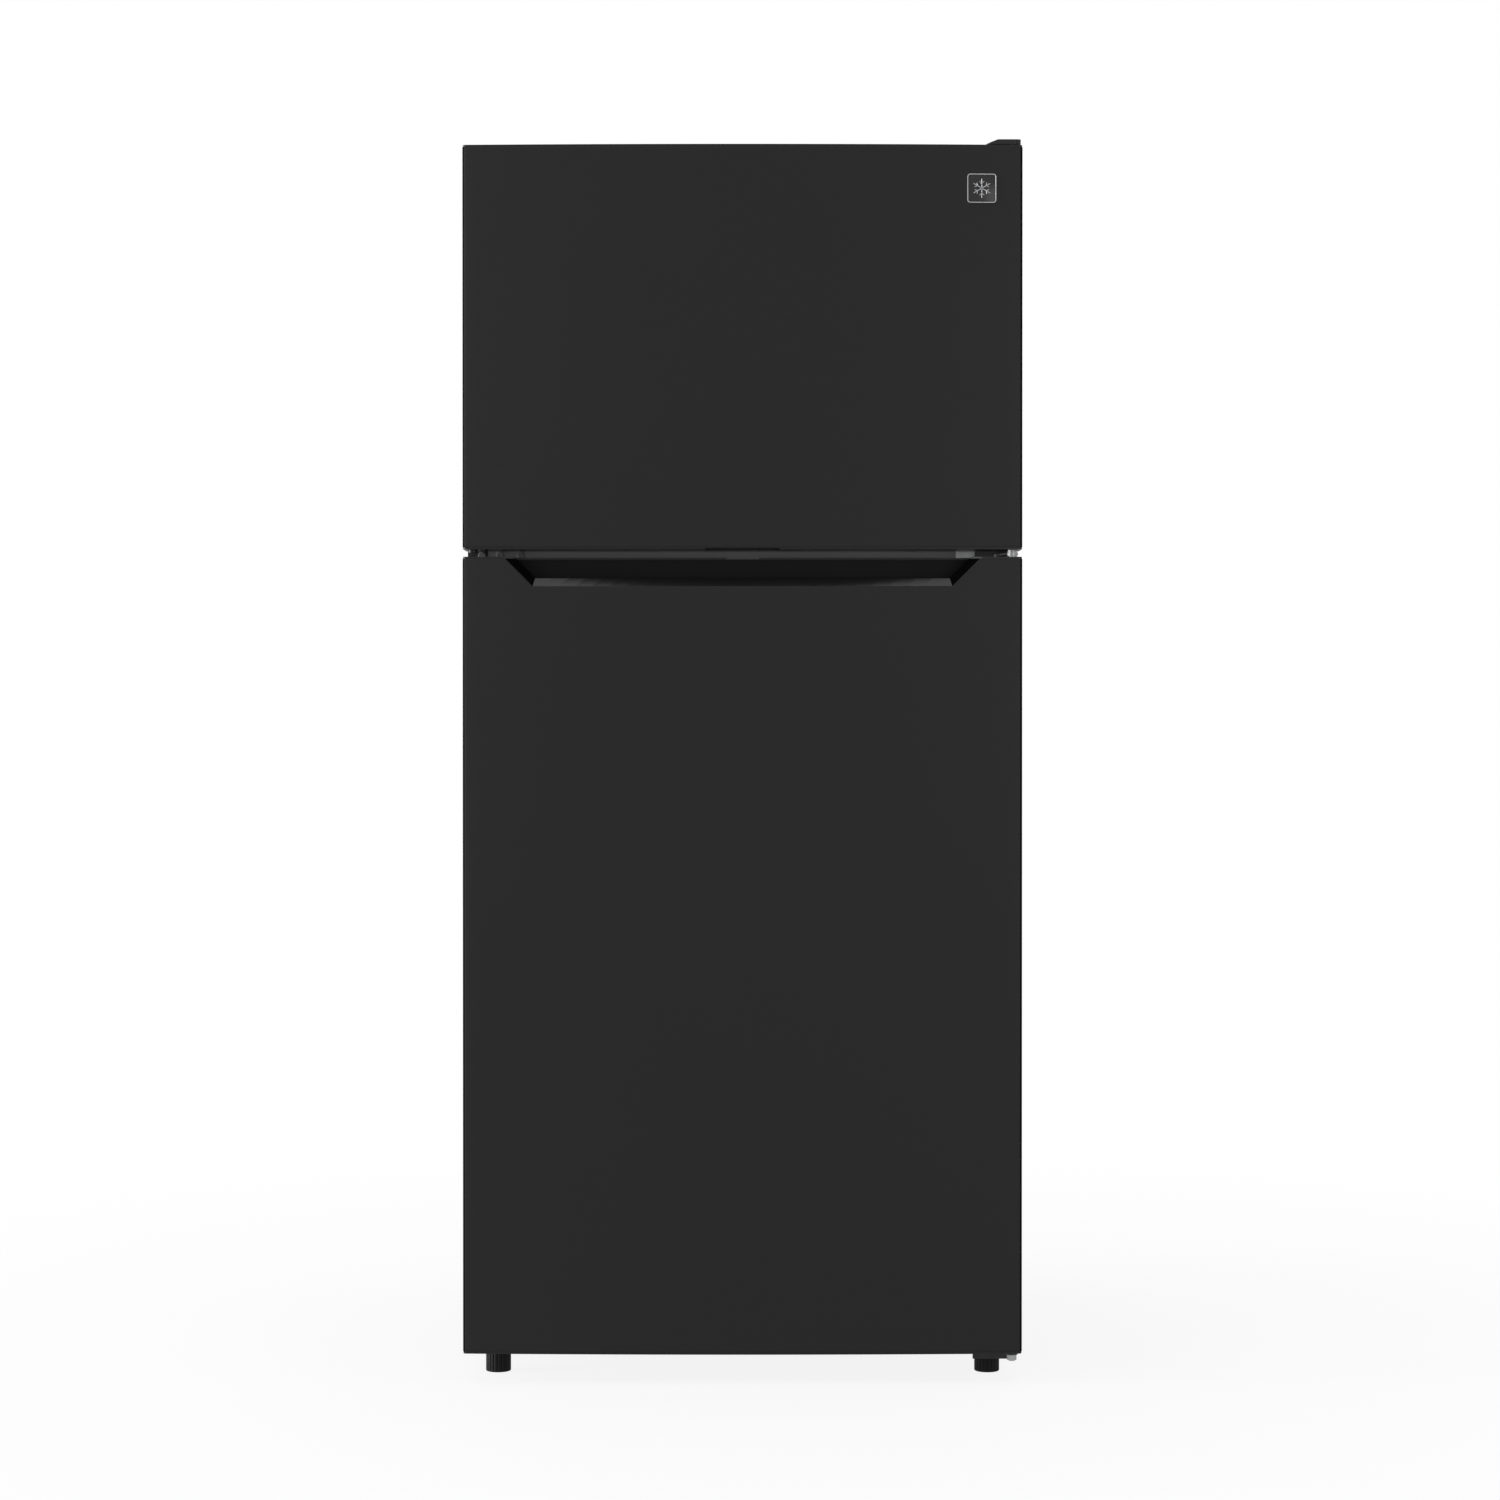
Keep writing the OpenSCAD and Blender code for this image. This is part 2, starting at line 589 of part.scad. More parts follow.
module fan_blades(r, hub_r, n, w) {
    difference() {
        cylinder(h = w, r = hub_r);
        translate([0, 0, -1]) cylinder(h = w - 2, r = 2.55);
    }
    for (i = [0:n - 1]) rotate(i * 360 / n) translate([hub_r - 1, 0, w / 2]) rotate([32, 0, 0])
        intersection() {
            translate([0, -w * 1.1, -0.8]) cube([r - hub_r, w * 2.2, 1.6]);
            translate([0, 0, -5]) cylinder(h = 10, r = r - hub_r);
        }
}

module condenser_fan_motor() color([0.3, 0.31, 0.32]) {
    block([fan_bay_x + 36, fan_bay_x + 39], [fan_bay_y - 60, fan_bay_y + 60], [bay_z[0], fan_bay_z + 40]);
    translate([fan_bay_x + 14, fan_bay_y, fan_bay_z]) rotate([0, 90, 0]) cylinder(h = 24, r = 26);
    translate([fan_bay_x + 39, fan_bay_y, fan_bay_z]) rotate([0, 90, 0]) cylinder(h = 14, r = 30);
    translate([fan_bay_x - 6, fan_bay_y, fan_bay_z]) rotate([0, 90, 0]) cylinder(h = 22, r = 2.5);
}

module condenser_fan_blade() color([0.13, 0.13, 0.13]) translate([fan_bay_x + 10, fan_bay_y, fan_bay_z])
    rotate([0, -90, 0]) fan_blades(66, 18, 5, 20);

module drain_pan() color([0.14, 0.14, 0.15]) difference() {
    block([-350, -70], [bay_front + 16, bay_front + 205], [bay_z[0], bay_z[0] + 34]);
    block([-347, -73], [bay_front + 19, bay_front + 202], [bay_z[0] + 3, bay_z[0] + 35]);
    block([-360, -60], [bay_front + 10, bay_front + 40], [bay_z[0] + 24, bay_z[0] + 40]);
}

module power_cord_gland() color([0.05, 0.05, 0.05]) translate([330, case_rear, bay_z[1] + 26]) rotate([-90, 0, 0])
    difference() {
        union() {
            cylinder(h = 2.5, r = 13);
            cylinder(h = panel_bead, r = 8);
        }
        translate([0, 0, 1]) cylinder(h = 5, r = 4);
    }

// ---------------------------------------------------------------- freezer fittings

module evaporator_coil() color([0.78, 0.79, 0.8]) {
    runs = 6;
    pitch = 36;
    z0 = freezer_in[0] + 46;
    ys = [cavity_back - 60, cavity_back - 22];
    hw = 240;
    fin_n = 27;
    for (i = [0:fin_n - 1]) block([-hw + 20 + i * (2 * hw - 40) / (fin_n - 1) - 0.4, -hw + 20 + i * (2 * hw - 40) / (fin_n - 1) + 0.4],
        [ys[0] - 14, cavity_back], [z0 - 16, z0 + (runs - 1) * pitch + 16]);
    for (y = ys) {
        for (i = [0:runs - 1]) translate([-hw, y, z0 + i * pitch]) rotate([0, 90, 0]) cylinder(h = 2 * hw, r = 4, $fn = 20);
        for (i = [0:runs - 2]) translate([(i % 2 == 0 ? 1 : -1) * hw, y, z0 + (i + 0.5) * pitch])
            rotate([90, i % 2 == 0 ? 0 : 180, 0]) rotate([0, 0, -90]) rotate_extrude(angle = 180, $fn = 32)
                translate([pitch / 2, 0]) circle(4, $fn = 20);
    }
}

module evaporator_fan_motor() color([0.3, 0.31, 0.32]) {
    translate([0, cavity_back - 34, evap_fan_z]) rotate([-90, 0, 0]) cylinder(h = 26, r = 24);
    translate([0, cavity_back - 8, evap_fan_z]) rotate([-90, 0, 0]) cylinder(h = 8, r = 10);
    translate([0, cavity_back - 52, evap_fan_z]) rotate([-90, 0, 0]) cylinder(h = 20, r = 2.5);
}

module evaporator_fan_blade() color([0.85, 0.85, 0.86]) translate([0, cavity_back - 38, evap_fan_z])
    rotate([90, 0, 0]) fan_blades(52, 15, 5, 18);

module evaporator_cover() color([0.92, 0.93, 0.93]) difference() {
    hw = freezer_hw;
    z = freezer_in;
    union() {
        block([-hw, hw], [evap_cover_y, evap_cover_y + evap_cover_t], z);
        translate([0, 0, evap_fan_z]) along_depth([evap_cover_y - 6, evap_cover_y]) round_rect(300, 96, 12);
    }
    for (i = [-3:3]) translate([0, 0, evap_fan_z + i * 12]) along_depth([evap_cover_y - 9, evap_cover_y + 9])
        round_rect(260, 6, 2.9);
    for (i = [-9:9]) translate([i * 30, 0, z[0] + 18]) along_depth([evap_cover_y - 9, evap_cover_y + 9])
        round_rect(18, 8, 3.5);
}

module freezer_shelf() color([0.93, 0.93, 0.93]) {
    hw = freezer_hw - 2;
    y = [case_front + 84, evap_cover_y - 8];
    wire_r = 1.8;
    rail_r = 3;
    wires = 26;
    z = freezer_shelf_z + rail_r;
    for (yy = [y[0] + rail_r, (y[0] + y[1]) / 2, y[1] - rail_r]) translate([-hw, yy, z]) rotate([0, 90, 0])
        cylinder(h = 2 * hw, r = rail_r, $fn = 20);
    for (i = [0:wires - 1]) translate([-hw + 8 + i * (2 * hw - 16) / (wires - 1), y[0] + 2, z + rail_r]) rotate([-90, 0, 0])
        cylinder(h = y[1] - y[0] - 4, r = wire_r, $fn = 16);
}

// ---------------------------------------------------------------- refrigerator compartment

module air_duct() color([0.9, 0.91, 0.92]) difference() {
    block([-70, 70], [cavity_back - 11, cavity_back], [drawer_lid_z + 60, fridge_in[1] - 52]);
    for (z = shelf_zs, i = [0, 1]) block([-44, 44], [cavity_back - 12, cavity_back - 6], [z + 76 + i * 16, z + 84 + i * 16]);
}

module control_box() color([0.91, 0.92, 0.93]) difference() {
    block([-control_hw, control_hw], control_y, control_z);
    block([-control_hw + 2.5, control_hw - 2.5], [control_y[0] + 2.5, control_y[1] - 2.5], [control_z[0] + 2.5, control_z[1] + 1]);
    block([-92, 22], [control_y[0] - 1, control_y[0] + 4], [control_z[0] + 8, control_z[1] - 8]);
    translate([knob_x, control_y[0] - 1, control_z[0] + 20]) rotate([-90, 0, 0]) cylinder(h = 6, r = knob_shaft_r + 0.1);
}

module light_lens() color([0.97, 0.97, 0.93, 0.6])
    block([-92, 22], [control_y[0] + 0.5, control_y[0] + 2.5], [control_z[0] + 8, control_z[1] - 8]);

module thermostat_knob() color([0.9, 0.9, 0.91]) translate([knob_x, control_y[0] - 0.5, control_z[0] + 20]) rotate([90, 0, 0]) {
    difference() {
        cylinder(h = knob_l - 5, r = knob_r);
        for (i = [0:17]) rotate(i * 20) translate([knob_r + 0.6, 0, -1]) cylinder(h = 30, r = 1.2, $fn = 16);
    }
    block([-2.5, 2.5], [-knob_r + 2, knob_r - 2], [0, knob_l]);
    translate([0, 0, -10]) cylinder(h = 11, r = knob_shaft_r);
}

module shelf_frames() color([0.9, 0.92, 0.93]) for (z = shelf_zs) difference() {
    union() {
        block([-shelf_hw, shelf_hw], [shelf_front, shelf_back], [z, z + shelf_h]);
        block([-shelf_hw + 10, shelf_hw - 10], [shelf_front - 6, shelf_front + 8], [z - 4, z + shelf_h]);
    }
    block([-shelf_hw + shelf_rim, shelf_hw - shelf_rim], [shelf_front + shelf_rim, shelf_back - shelf_rim],
        [z + shelf_h - glass_t - 1, z + shelf_h + 1]);
    block([-shelf_hw + shelf_rim + 7, shelf_hw - shelf_rim - 7], [shelf_front + shelf_rim + 7, shelf_back - shelf_rim - 7],
        [z - 9, z + shelf_h]);
    if (z == shelf_zs[0]) block([-190, -110], [shelf_front - 8, shelf_front - 3], [z + 3, z + 12]);
}

module shelf_glass() color([0.75, 0.88, 0.86, 0.35]) for (z = shelf_zs)
    block([-shelf_hw + shelf_rim + 0.3, shelf_hw - shelf_rim - 0.3], [shelf_front + shelf_rim + 0.3, shelf_back - shelf_rim - 0.3],
        [z + shelf_h - glass_t - 1, z + shelf_h - 1]);

// The slide covers the vent slot in the drawer lid's front and runs along it
module humidity_slide() color([0.25, 0.5, 0.62]) {
    z = shelf_zs[0];
    block([-189.6, -150.4], [shelf_front - 5.6, shelf_front - 3.4], [z + 3.4, z + 11.6]);
    block([-174, -166], [shelf_front - 12, shelf_front - 5.6], [z + 4.5, z + 10.5]);
}

module crisper(side) color([0.8, 0.88, 0.9, 0.45]) {
    x = side < 0 ? [-fridge_hw + ledge_w + 1, -2] : [2, fridge_hw - ledge_w - 1];
    difference() {
        block(x, [drawer_front, drawer_back], drawer_z);
        block([x[0] + drawer_t, x[1] - drawer_t], [drawer_front + drawer_t, drawer_back - drawer_t], [drawer_z[0] + drawer_t, drawer_z[1] + 1]);
    }
    block([x[0] + 30, x[1] - 30], [drawer_front - drawer_grip, drawer_front], [drawer_z[1] - 16, drawer_z[1] - 13]);
    block([x[0] + 30, x[1] - 30], [drawer_front - drawer_grip, drawer_front - drawer_grip + 3], [drawer_z[1] - 34, drawer_z[1] - 16]);
}

module crisper_left() crisper(-1);
module crisper_right() crisper(1);

// ---------------------------------------------------------------- doors

// Sheet wrap of a door: bowed front with the two sides turned back
module door_skin(z) color([0.026, 0.026, 0.027]) translate([0, 0, z[0] + cap_lip])
    linear_extrude(z[1] - z[0] - 2 * cap_lip) difference() {
        door_plan();
        door_plan(skin_t, door_back + 1);
    }

// Solid that fills the hollow ribs of a door liner, drawn in by an inset
module liner_rib(hw, z, inset, y)
    frame_ring(hw - inset, y, [z[0] + inset, z[1] - inset], rib_w - 2 * inset);

module door_liner(door_z, rib_hw, rib_z) color([0.93, 0.94, 0.94]) difference() {
    union() {
        plate_x = half_w - skin_t - part_gap;
        block([-plate_x, plate_x], [door_back - door_liner_t, door_back], [door_z[0] + cap_lip, door_z[1] - cap_lip]);
        liner_rib(rib_hw, rib_z, 0, [door_back, door_back + rib_d]);
    }
    liner_rib(rib_hw, rib_z, door_liner_t, [door_back - 5, door_back + rib_d - door_liner_t]);
}

// Skirt and hinge bosses that an end cap has inside the skin
module cap_inside(z, outer = skin_t + part_gap) {
    inset = skin_t + part_gap;
    back = door_back - door_liner_t;
    difference() {
        door_slab(z, outer, back);
        block([-half_w + inset + skirt_t, half_w - inset - skirt_t], [door_bow + inset + skirt_t, back - skirt_t], [z[0] - 1, z[1] + 1]);
    }
    for (side = [-1, 1]) intersection() {
        door_slab(z, outer, back);
        translate([side * (hinge_x - 4), hinge_y, z[0] - 1]) cylinder(h = 60, r = bush_r + 6);
    }
}

module door_foam(door_z, rib_hw, rib_z) difference() {
    union() {
        door_slab([door_z[0] + cap_lip, door_z[1] - cap_lip], skin_t, door_back - door_liner_t);
        liner_rib(rib_hw, rib_z, door_liner_t, [door_back - door_liner_t - 1, door_back + rib_d - door_liner_t]);
    }
    for (z = [door_z[0] + cap_lip, door_z[1] - cap_lip - cap_skirt]) {
        cap_inside([z - 0.01, z + cap_skirt + 0.01], 0);
        for (side = [-1, 1]) translate([side * hinge_x, hinge_y, z - 9]) cylinder(h = cap_skirt + 18, r = bush_r + 0.1);
    }
}

module gasket(z) color([0.2, 0.2, 0.21]) {
    hw = hinge_x - 1;
    zz = [z[0] + gasket_edge, z[1] - gasket_edge];
    y1 = case_front - seal_gap;
    frame_ring(hw, [door_back, door_back + 2.5], zz, gasket_w);
    frame_ring(hw - 3, [door_back + 2, y1 - 3], [zz[0] + 3, zz[1] - 3], gasket_w - 7);
    frame_ring(hw, [y1 - 3.5, y1], zz, gasket_w - 3);
}

// Open bin between the ribs of a door liner
module door_bin(hw, depth, z, h) difference() {
    y0 = door_back;
    block([-hw, hw], [y0, y0 + depth], [z, z + h]);
    block([-hw + bin_t, hw - bin_t], [y0 + bin_t, y0 + depth - bin_t], [z + bin_t, z + h + 1]);
}

module bushing(z) translate([hinge_x, hinge_y, z[0]]) difference() {
    cylinder(h = z[1] - z[0], r = bush_r);
    translate([0, 0, -1]) cylinder(h = 90, r = pin_r + pin_fit);
}

module cap_bore(z) translate([hinge_x, hinge_y, z[0] - 1]) cylinder(h = z[1] - z[0] + 2, r = bush_r + part_gap);

// ---------------------------------------------------------------- freezer door

freezer_ribs = [freezer_in[0] + rib_gap_z, freezer_in[1] - rib_gap_z];
freezer_bin_hw = rib_hw_freezer - rib_w - bin_side_gap;
freezer_bin_d = bin_d - 30;
freezer_bin_zs = [freezer_ribs[0] + rib_w + 4, (freezer_ribs[0] + freezer_ribs[1]) / 2 + 14];
grip_hw = 50;
grip_y = [12, 40];
grip_h = 25;

module freezer_door_skin() door_skin(freezer_z);
module freezer_door_liner() door_liner(freezer_z, rib_hw_freezer, freezer_ribs);

// Finger recess in the underside of the freezer door
module grip_box(grow) block([-grip_hw - grow, grip_hw + grow], [grip_y[0] - grow, grip_y[1] + grow],
    [freezer_z[0] - 1, freezer_z[0] + grip_h + grow]);

module freezer_door_foam() color([0.93, 0.85, 0.62]) difference() {
    door_foam(freezer_z, rib_hw_freezer, freezer_ribs);
    grip_box(skirt_t);
}

module freezer_door_top_cap() color([0.03, 0.03, 0.032]) difference() {
    z = [freezer_z[1] - cap_lip - cap_skirt, freezer_z[1] - cap_lip];
    union() {
        cap_inside(z);
        door_slab([z[1], freezer_z[1]], 0.6);
    }
    cap_bore([z[0], freezer_z[1]]);
}

module freezer_door_bottom_cap() color([0.03, 0.03, 0.032]) difference() {
    z = [freezer_z[0] + cap_lip, freezer_z[0] + cap_lip + cap_skirt];
    union() {
        difference() {
            union() {
                cap_inside(z);
                door_slab([freezer_z[0], z[0]], 0.6);
                block([-grip_hw - skirt_t, grip_hw + skirt_t], [grip_y[0] - skirt_t, grip_y[1] + skirt_t],
                    [z[0] - 1, freezer_z[0] + grip_h + skirt_t]);
            }
            grip_box(0);
            block([-grip_hw, grip_hw], [-1, grip_y[0] + 1], [freezer_z[0] - 1, freezer_z[0] + 1.5]);
        }
        translate([-hinge_x, hinge_y, freezer_z[0] - 3.5]) cylinder(h = 4, r = 6.5);
    }
    cap_bore([freezer_z[0], z[1]]);
}

module freezer_gasket() gasket(freezer_z);

module freezer_door_bins() color([0.88, 0.91, 0.92, 0.6])
    for (z = freezer_bin_zs) door_bin(freezer_bin_hw, freezer_bin_d, z, 72);

module freezer_door_bushings() color([0.85, 0.85, 0.83]) {
    bushing([freezer_z[0], freezer_z[0] + bush_l]);
    bushing([freezer_z[1] - bush_l, freezer_z[1]]);
}

// Maker's plate with a plain rim and a six-armed frost star
module badge() color([0.5, 0.5, 0.52]) {
    size = 39;
    x = half_w - 55.5;
    translate([x, bow_at(x) - 0.03, freezer_z[1] - 59]) rotate([90, 0, asin(x / bow_r)]) {
        linear_extrude(1.2) round_rect(size, size, 4);
        translate([0, 0, 1]) linear_extrude(0.7) difference() {
            round_rect(size, size, 4);
            round_rect(size - 3, size - 3, 2.6);
        }
        translate([0, 0, 1]) linear_extrude(0.6) for (a = [0:60:300]) rotate(a) {
            translate([0, -0.6]) square([13, 1.2]);
            for (side = [-1, 1]) translate([7.5, 0]) rotate(side * 55) translate([0, -0.5]) square([4.5, 1]);
        }
    }
}

// ---------------------------------------------------------------- refrigerator door

fridge_ribs = [fridge_in[0] + rib_gap_z, fridge_in[1] - rib_gap_z];
fridge_bin_hw = rib_hw_fridge - rib_w - bin_side_gap;
dairy_z = [fridge_ribs[1] - rib_w - 106, fridge_ribs[1] - rib_w - 8];
fridge_bin_zs = [fridge_ribs[0] + rib_w + 4, drawer_lid_z + 120, dairy_z[0] - 220];
dairy_x = [-fridge_bin_hw, -fridge_bin_hw + 260];
dairy_axis = [door_back + bin_d - 4, dairy_z[1] - 6];
dairy_pin_r = 3;

// The pocket's outline at the door front and at the inner end of its bevel, right half
pocket_lip_z = fridge_z[1] - pocket_h;
groove_z = pocket_lip_z - 10;
bevel_y = 13;
function pocket_side(z, hw) = hw - (fridge_z[1] - z);

// Space cut by the bevel: it runs straight from the bowed door front to a straight inner edge
module bevel_space() {
    steps = 24;
    top = fridge_z[1] + 1;
    lip = pocket_lip_z + lip_rise;
    inner_hw = pocket_hw - pocket_bevel;
    function front_end(x, z, inner) = let (outer = [x, bow_at(x) + skin_t, z]) inner + (outer - inner) * 1.6;
    function ring(t) = let (
        low_in = [t * pocket_side(lip, inner_hw), bevel_y, lip],
        top_in = [t * pocket_side(top, inner_hw), bevel_y, top],
        low_out = front_end(t * pocket_side(pocket_lip_z, pocket_hw), pocket_lip_z, low_in),
        top_out = front_end(t * pocket_side(top, pocket_hw), top, top_in)
    ) [low_out, low_in, top_in, top_out];
    points = [for (i = [0:steps]) each ring(-1 + 2 * i / steps)];
    faces = concat(
        [[0, 1, 2, 3], [for (k = [3:-1:0]) 4 * steps + k]],
        [for (i = [0:steps - 1], k = [0:3]) let (a = 4 * i + k, b = 4 * i + (k + 1) % 4) [a, a + 4, b + 4, b]]
    );
    polyhedron(points, faces, convexity = 4);
}

module pocket_space() {
    inner_hw = pocket_hw - pocket_bevel;
    lip = pocket_lip_z + lip_rise;
    top = fridge_z[1] + 1;
    bevel_space();
    along_depth([bevel_y - 0.01, pocket_d]) polygon([
        [-pocket_side(top, inner_hw), top], [-pocket_side(lip, inner_hw), lip],
        [pocket_side(lip, inner_hw), lip], [pocket_side(top, inner_hw), top]
    ]);
    along_depth([bevel_y + 3, pocket_d]) polygon([
        [-pocket_side(lip + 1, inner_hw), lip + 1], [-pocket_side(groove_z, inner_hw), groove_z],
        [pocket_side(groove_z, inner_hw), groove_z], [pocket_side(lip + 1, inner_hw), lip + 1]
    ]);
}

module pocket_block(grow, inset = skin_t + part_gap) {
    outer_hw = pocket_hw + 3;
    intersection() {
        door_slab([groove_z - skirt_t, fridge_z[1] - cap_lip], inset, door_back);
        along_depth([0, pocket_d + skirt_t + grow]) polygon([
            [-outer_hw, fridge_z[1]], [-pocket_side(groove_z - skirt_t, outer_hw), groove_z - skirt_t],
            [pocket_side(groove_z - skirt_t, outer_hw), groove_z - skirt_t], [outer_hw, fridge_z[1]]
        ]);
    }
}

module fridge_door_skin() difference() {
    door_skin(fridge_z);
    color([0.026, 0.026, 0.027]) along_depth([-1, bevel_y]) polygon([
        [-pocket_side(fridge_z[1] + 1, pocket_hw), fridge_z[1] + 1], [-pocket_side(pocket_lip_z, pocket_hw), pocket_lip_z],
        [pocket_side(pocket_lip_z, pocket_hw), pocket_lip_z], [pocket_side(fridge_z[1] + 1, pocket_hw), fridge_z[1] + 1]
    ]);
}

module pocket_handle() color([0.02, 0.02, 0.022]) difference() {
    pocket_block(0);
    pocket_space();
}

module fridge_door_liner() door_liner(fridge_z, rib_hw_fridge, fridge_ribs);

module fridge_door_foam() color([0.93, 0.85, 0.62]) difference() {
    door_foam(fridge_z, rib_hw_fridge, fridge_ribs);
    pocket_block(0.01, 0);
}

module fridge_door_top_cap() color([0.03, 0.03, 0.032]) difference() {
    z = [fridge_z[1] - cap_lip - cap_skirt, fridge_z[1] - cap_lip];
    union() {
        difference() {
            cap_inside(z);
            pocket_block(0);
        }
        difference() {
            door_slab([z[1], fridge_z[1]], 0.6);
            inner_hw = pocket_hw - pocket_bevel;
            front = bow_at(pocket_hw) + skin_t;
            translate([0, 0, z[1] - 1]) linear_extrude(9) polygon([
                [-pocket_hw, -1], [-pocket_hw, front], [-inner_hw, bevel_y], [-inner_hw, pocket_d],
                [inner_hw, pocket_d], [inner_hw, bevel_y], [pocket_hw, front], [pocket_hw, -1]
            ]);
            block([-22, 22], [pocket_d - 1, door_back + 1], [fridge_z[1] - 1.8, fridge_z[1] + 1]);
        }
    }
    cap_bore([z[0], fridge_z[1]]);
}

module fridge_door_bottom_cap() color([0.03, 0.03, 0.032]) difference() {
    z = [fridge_z[0] + cap_lip, fridge_z[0] + cap_lip + cap_skirt];
    union() {
        cap_inside(z);
        door_slab([fridge_z[0], z[0]], 0.6);
    }
    cap_bore([fridge_z[0], z[1]]);
}

module fridge_gasket() gasket([fridge_z[0] + gasket_edge, fridge_z[1]]);

module fridge_door_bins() color([0.88, 0.91, 0.92, 0.6]) {
    door_bin(fridge_bin_hw, low_bin_d, fridge_bin_zs[0], 92);
    for (z = [fridge_bin_zs[1], fridge_bin_zs[2]]) door_bin(fridge_bin_hw, bin_d, z, 78);
    difference() {
        block(dairy_x, [door_back, door_back + bin_d - 8], dairy_z);
        block([dairy_x[0] + bin_t, dairy_x[1] - bin_t], [door_back + 3, door_back + bin_d], [dairy_z[0] + bin_t, dairy_z[1] - bin_t]);
    }
    for (x = [dairy_x[0] + 2, dairy_x[1] - 6]) difference() {
        block([x, x + 4], [door_back + bin_d - 9, dairy_axis[0] + 5], [dairy_axis[1] - 5, dairy_z[1]]);
        translate([x - 1, dairy_axis[0], dairy_axis[1]]) rotate([0, 90, 0]) cylinder(h = 9, r = dairy_pin_r + 0.1);
    }
}

// Flap that hangs in front of the dairy compartment and swings up into the cabinet
module dairy_cover() color([0.8, 0.88, 0.9, 0.45]) {
    x = [dairy_x[0] + 7, dairy_x[1] - 7];
    translate([dairy_x[0] + 2.5, dairy_axis[0], dairy_axis[1]]) rotate([0, 90, 0])
        cylinder(h = dairy_x[1] - dairy_x[0] - 5, r = dairy_pin_r);
    block(x, [dairy_axis[0] - 1.2, dairy_axis[0] + 1.2], [dairy_z[0] + 2, dairy_axis[1]]);
    block([(x[0] + x[1]) / 2 - 40, (x[0] + x[1]) / 2 + 40], [dairy_axis[0], dairy_axis[0] + 9], [dairy_z[0] + 2, dairy_z[0] + 5]);
}

module fridge_door_bushings() color([0.85, 0.85, 0.83]) {
    bushing([fridge_z[0], fridge_z[0] + bush_l]);
    bushing([fridge_z[1] - bush_l, fridge_z[1]]);
}

// ---------------------------------------------------------------- assembly

module place() translate([0, front_y, 0]) children();

place() outer_case();
place() back_panel();
place() machine_room_cover();
place() base_pan();
place() foam_insulation();
place() freezer_liner();
place() fridge_liner();
place() mullion_rail();
place() spare_hinge_plugs();
place() top_hinge();
place() top_hinge_cover();
place() middle_hinge();
place() middle_hinge_cover();
place() bottom_hinge();
place() hinge_screws();
place() roller_brackets();
place() compressor();
place() compressor_grommets();
place() condenser_coil();
place() condenser_fan_motor();
place() drain_pan();
place() power_cord_gland();
place() evaporator_coil();
place() evaporator_fan_motor();
place() evaporator_cover();
place() freezer_shelf();
place() air_duct();
place() control_box();
place() light_lens();
place() shelf_frames();
place() shelf_glass();
place() condenser_fan_blade();
place() evaporator_fan_blade();
place() thermostat_knob();
place() left_leveling_leg();
place() right_leveling_leg();
place() rear_roller_left();
place() rear_roller_right();
place() crisper_left();
place() crisper_right();
place() humidity_slide();
place() freezer_door_skin();
place() freezer_door_liner();
place() freezer_door_foam();
place() freezer_door_top_cap();
place() freezer_door_bottom_cap();
place() freezer_gasket();
place() freezer_door_bins();
place() freezer_door_bushings();
place() badge();
place() fridge_door_skin();
place() fridge_door_liner();
place() fridge_door_foam();
place() fridge_door_top_cap();
place() pocket_handle();
place() fridge_door_bottom_cap();
place() fridge_gasket();
place() fridge_door_bins();
place() fridge_door_bushings();
place() dairy_cover();
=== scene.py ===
import bpy
import bmesh
from math import asin, cos, hypot, pi, radians, sin, sqrt
from mathutils import Matrix, Vector


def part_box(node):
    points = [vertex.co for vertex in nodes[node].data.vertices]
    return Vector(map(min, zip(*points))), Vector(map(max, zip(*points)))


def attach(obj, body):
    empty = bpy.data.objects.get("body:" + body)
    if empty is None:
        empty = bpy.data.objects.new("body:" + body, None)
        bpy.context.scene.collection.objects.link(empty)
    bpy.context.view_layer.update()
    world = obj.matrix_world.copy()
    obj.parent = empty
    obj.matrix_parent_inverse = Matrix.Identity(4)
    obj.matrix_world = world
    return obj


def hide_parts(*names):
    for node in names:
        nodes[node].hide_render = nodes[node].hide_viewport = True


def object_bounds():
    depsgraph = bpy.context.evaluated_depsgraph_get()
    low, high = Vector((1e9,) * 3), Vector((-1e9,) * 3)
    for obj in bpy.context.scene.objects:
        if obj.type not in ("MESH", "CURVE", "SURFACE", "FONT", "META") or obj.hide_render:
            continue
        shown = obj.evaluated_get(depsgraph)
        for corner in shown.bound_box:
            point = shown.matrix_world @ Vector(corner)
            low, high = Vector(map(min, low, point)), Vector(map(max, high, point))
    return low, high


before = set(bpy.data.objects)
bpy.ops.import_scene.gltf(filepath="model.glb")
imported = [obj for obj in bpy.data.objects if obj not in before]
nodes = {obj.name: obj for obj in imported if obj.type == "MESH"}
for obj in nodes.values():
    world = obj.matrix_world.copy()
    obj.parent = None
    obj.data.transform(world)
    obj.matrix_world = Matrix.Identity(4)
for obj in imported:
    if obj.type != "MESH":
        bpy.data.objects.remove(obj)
cad_low, cad_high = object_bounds()

# ---------------------------------------------------------------- camera
# The viewer stands square to the doors at chest height, four and a half metres away.
front_y = cad_low[1]
camera_data = bpy.data.cameras.new("camera")
camera_data.lens = 79.8
camera_data.sensor_width = 36
camera_data.clip_end = 200
camera = bpy.data.objects.new("camera", camera_data)
camera.location = (0.0102, front_y - 4.48, 0.8916)
camera.rotation_euler = (radians(90 - 0.44), 0, 0)
bpy.context.collection.objects.link(camera)
bpy.context.scene.camera = camera

